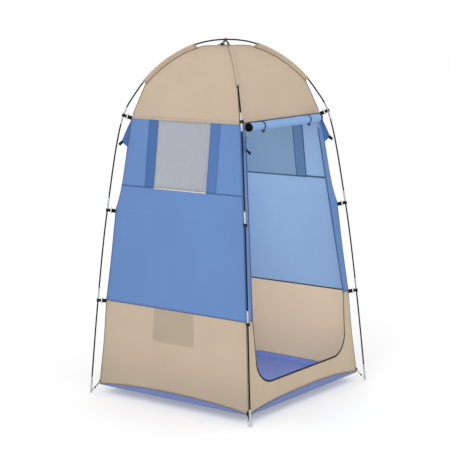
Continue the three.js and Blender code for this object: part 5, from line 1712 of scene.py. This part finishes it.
class TENT_OT_door_roll(TentOperator, bpy.types.Operator):
    """Make the rolled-up door, its tapes and its toggles"""

    bl_idname = "tent.door_roll"
    bl_label = "Rolled door"

    def build(self):
        height = HEM - ROLL_RADIUS - TIE_THICKNESS - TOUCH
        centre = np.array((0, -float(corner_half(height)) - ROLL_RADIUS - 0.0005 - TOUCH, height))
        half = float(track_half(height)) + TAPE_WIDTH - 0.009
        length = HEM - DOOR_SILL
        roll = rolled_sheet("door_roll", centre, ROLL_RADIUS - 0.0004, half + 0.004, length,
                            ["blue", "rolled"], (-HEM_HALF - 0.0002, HEM - 0.0006),
                            (-TIE_OFFSET, TIE_OFFSET), edge_finish="zip", swell=0.06)
        line = row(np.linspace(-0.338, 0.338, 60), -HEM_HALF - 0.0038, HEM - 0.0032)
        finish_piece(tube("door_hem_piping", line, 0.0026, ["tie_tape"], 8))
        finish_piece(roll, ["door_panel_rolled"])
        declare(roll)
        down = np.array((0, -math.cos(TOGGLE_DROP), -math.sin(TOGGLE_DROP)))
        outer = ROLL_RADIUS + TIE_THICKNESS
        for name, sign in HANDS.items():
            middle = centre + (sign * TIE_OFFSET, 0, 0)
            turns = np.linspace(0, 2 * math.pi, 40)[:-1]
            ring = middle + row(0, -np.cos(turns), np.sin(turns)) * (outer - BAND_THICKNESS)
            band = ribbon("band", [*ring, ring[0]], (1, 0, 0), 0.0075, ["tie_tape"], BAND_THICKNESS)
            start = middle + down * (outer - 0.001)
            end = middle + down * (outer + 2 * TOUCH + 2 * TOGGLE_RADIUS + KNOT_RADIUS)
            cord = tube("cord", [start + (end - start) * s for s in np.linspace(0, 1, 8)], TOGGLE_CORD, ["cord"], 8)
            tie = join_pieces(f"tie_{name}", [band, cord, cord_ball("knot", end, down, KNOT_RADIUS, ["cord"])])
            finish_piece(tie)
            door_toggle(name, middle + down * (outer + TOUCH + TOGGLE_RADIUS))


class TENT_OT_poles(TentOperator, bpy.types.Operator):
    """Make the rods of both poles and their steel ferrules"""

    bl_idname = "tent.poles"
    bl_label = "Poles"

    def build(self):
        for corner, leg in LEGS.items():
            joints = leg.joints()
            starts = [FOOT_LIFT + 0.0004, joints[0] + TOUCH, joints[1] + TOUCH]
            for section, start, end in zip(("lower", "middle", "upper"), starts, joints):
                piece = rod(f"rod_{corner}_{section}", leg, start, end)
                finish_piece(piece, [f"pole_{corner}_{section}"])
            for name, (start, end) in leg.ferrules().items():
                finish_piece(ferrule(f"ferrule_{corner}_{name}", leg, start, end))
        for name, corner in (("over", "back_left"), ("under", "front_left")):
            leg = LEGS[corner]
            start = leg.joints()[2] + TOUCH
            piece = rod(f"crown_{name}", leg, start, leg.reach[-1] - start)
            finish_piece(piece, [f"pole_crown_{name}"])


class TENT_OT_clips(TentOperator, bpy.types.Operator):
    """Make the hooks, rings and webbing that hold the cloth to the poles"""

    bl_idname = "tent.clips"
    bl_label = "Clips"

    def build(self):
        for corner in CORNERS:
            for name in CLIP_HEIGHTS:
                make_hook(corner, name)
                make_ring(corner, name)
                make_tab(corner, name)


class TENT_OT_feet(TentOperator, bpy.types.Operator):
    """Make the foot pins, their links and straps, and the guy tabs"""

    bl_idname = "tent.feet"
    bl_label = "Feet and guy tabs"

    def build(self):
        for corner in CORNERS:
            make_foot(corner)
            make_foot_strap(corner)
            make_guy_tab(corner)


def creases(x, y):
    """Low wrinkles of a sheet that lies on the ground."""
    draw = np.random.RandomState(3)
    total = np.zeros_like(x)
    for _ in range(9):
        angle, pitch, phase = draw.uniform(0, math.pi), draw.uniform(9, 34), draw.uniform(0, 6.28)
        total += np.sin(pitch * (x * math.cos(angle) + y * math.sin(angle)) + phase)
    return 0.0011 * np.clip(total / 3, 0, 2)


class TENT_OT_floor(TentOperator, bpy.types.Operator):
    """Make the groundsheet with its turned-up rim"""

    bl_idname = "tent.floor"
    bl_label = "Floor"

    def build(self):
        shares = np.linspace(-1, 1, 61)[:-1]
        rings = []
        for lift in np.linspace(1, 0, 8)[:-1]:
            def rim(side):
                z = TUB_EDGE + (tub_rim(side, shares * FLOOR_HALF) - TOUCH - TUB_EDGE) * lift
                return shares * corner_half(z), -corner_half(z), z

            rings.append(around(rim))
        for inset in [0, 0.002, 0.006, 0.012] + list(np.linspace(0.02, FLOOR_HALF - 0.012, 34)):
            height = TUB_EDGE * float(np.interp(inset, FLOOR_SAG_INSETS, FLOOR_SAG_SHARES))
            half = FLOOR_HALF - inset
            rings.append(around(lambda side: (shares * half, -half, height)))
        points = np.array(rings)
        away = np.clip((FLOOR_HALF - np.abs(points[..., :2]).max(axis=-1)) / 0.06, 0, 1)
        points[..., 2] += FLOOR_RISE + creases(points[..., 0], points[..., 1]) * away
        floor = grid("groundsheet", points, two_faced("floor"), uv=points[..., :2], wrap=True, cap=True, flip=True)
        thicken(floor, 0.0008)
        finish_piece(floor, ["floor_tub"])
        declare(floor)


def cord_lock(x, z):
    """The grooved barrel and the sprung button in its end."""
    face = -LOCK_LENGTH / 2
    profile = [(face, 0.0044), (face, 0.0053), (face + 0.0006, 0.0059), (face + 0.003, LOCK_RADIUS),
               (face + 0.0034, 0.0057), (face + 0.0046, 0.0057), (face + 0.005, LOCK_RADIUS),
               (-face - 0.0016, LOCK_RADIUS), (-face - 0.0005, 0.0055), (-face, 0.0044)]
    start = face - LOCK_TRAVEL - TOUCH
    cap = [(start - 0.003, 0.0034), (start - 0.003, 0.0044), (start - 0.0024, 0.005), (start - 0.0006, 0.005),
           (start, 0.0046), (start, 0.0038), (face + 0.001, 0.0038), (face + 0.001, 0.003)]
    for name, node_name, line, sides in (("cord_lock", "cord_lock_body", profile, 28),
                                         ("lock_button", "cord_lock_button", cap, 24)):
        hair = 0.00001  # keeps apart two places that coincide, so that each ring faces along the bar
        centres = [(x, y + i * hair, z) for i, (y, _) in enumerate(line)]
        piece = tube(name, centres, [r for _, r in line], ["plastic"], sides, axis=(0, 0, 1))
        finish_piece(piece, [node_name], name)


class TENT_OT_apex_tie(TentOperator, bpy.types.Operator):
    """Make the cord that ties the roof to the crossed poles, and its cord lock"""

    bl_idname = "tent.apex_tie"
    bl_label = "Apex tie"

    def build(self):
        top = OVERALL_HEIGHT - TIE_RADIUS
        bottom = ROOF_TOP + TOUCH + TIE_RADIUS
        half = ROD_RADIUS * ROOT_TWO + TOUCH + 2 * TIE_RADIUS
        bend = 2 * TIE_RADIUS
        loop = [(TIE_FOOT_HALF, bottom + bend), (half + 0.002, (top + bottom) / 2), (half, top - bend),
                (half - bend, top), (bend - half, top), (-half, top - bend), (-half - 0.002, (top + bottom) / 2),
                (-TIE_FOOT_HALF, bottom + bend), (bend - TIE_FOOT_HALF, bottom), (TIE_FOOT_HALF - bend, bottom)]
        points = [np.array((x, 0, z)) for x, z in loop[-1:] + loop + loop[:2]]
        cord = tube("apex_tie", evenly(spline(points, 24), 70), TIE_RADIUS, ["cord"], 12, closed=True)
        finish_piece(cord, ["apex_cord"])
        height = ROOF_TOP + TOUCH + LOCK_RADIUS
        tail_end = -TIE_FOOT_HALF - TIE_TAIL
        tail_start = 0.002 - TIE_FOOT_HALF
        route = [(x, 0, height) for x in np.linspace(tail_start, tail_end, 18)]
        tail = finish_piece(tube("apex_tie_tail", route, TIE_RADIUS, ["cord"], 12))
        knot = cord_ball("apex_tie_knot", np.array(route[-1]), np.array((1, 0, 0)), KNOT_RADIUS, ["cord"], 85, 11, 14)
        finish_piece(knot)
        cord_lock(-TIE_FOOT_HALF - LOCK_SEAT, height)


class TENT_PT_panel(bpy.types.Panel):
    """Lists the tent's sizes, colours and making steps"""

    bl_idname = "TENT_PT_panel"
    bl_label = "Changing Tent"
    bl_space_type = "VIEW_3D"
    bl_region_type = "UI"
    bl_category = "Tent"

    def draw(self, context):
        layout = self.layout
        for group in (context.scene.tent_cloth, context.scene.tent_colours, context.scene.tent_stage):
            box = layout.box()
            for name in group.__annotations__:
                box.prop(group, name)
        for operator in OPERATORS:
            layout.operator(operator.bl_idname)


OPERATORS = (
    TENT_OT_stage, TENT_OT_apex_tie, TENT_OT_poles, TENT_OT_roof, TENT_OT_upper_walls, TENT_OT_lower_walls,
    TENT_OT_windows, TENT_OT_pocket, TENT_OT_seams, TENT_OT_stitching, TENT_OT_clips, TENT_OT_feet,
    TENT_OT_door_zip, TENT_OT_door_roll, TENT_OT_floor,
)
GROUPS = {"tent_cloth": TentCloth, "tent_colours": TentColours, "tent_stage": TentStage}


def register():
    for group in GROUPS.values():
        bpy.utils.register_class(group)
    for operator in OPERATORS:
        bpy.utils.register_class(operator)
    bpy.utils.register_class(TENT_PT_panel)
    for name, group in GROUPS.items():
        setattr(bpy.types.Scene, name, bpy.props.PointerProperty(type=group))


def unregister():
    for name in GROUPS:
        delattr(bpy.types.Scene, name)
    bpy.utils.unregister_class(TENT_PT_panel)
    for operator in reversed(OPERATORS):
        bpy.utils.unregister_class(operator)
    for group in GROUPS.values():
        bpy.utils.unregister_class(group)


def main():
    register()
    for operator in OPERATORS:
        group, name = operator.bl_idname.split(".")
        getattr(getattr(bpy.ops, group), name)()


if __name__ == "__main__":
    main()
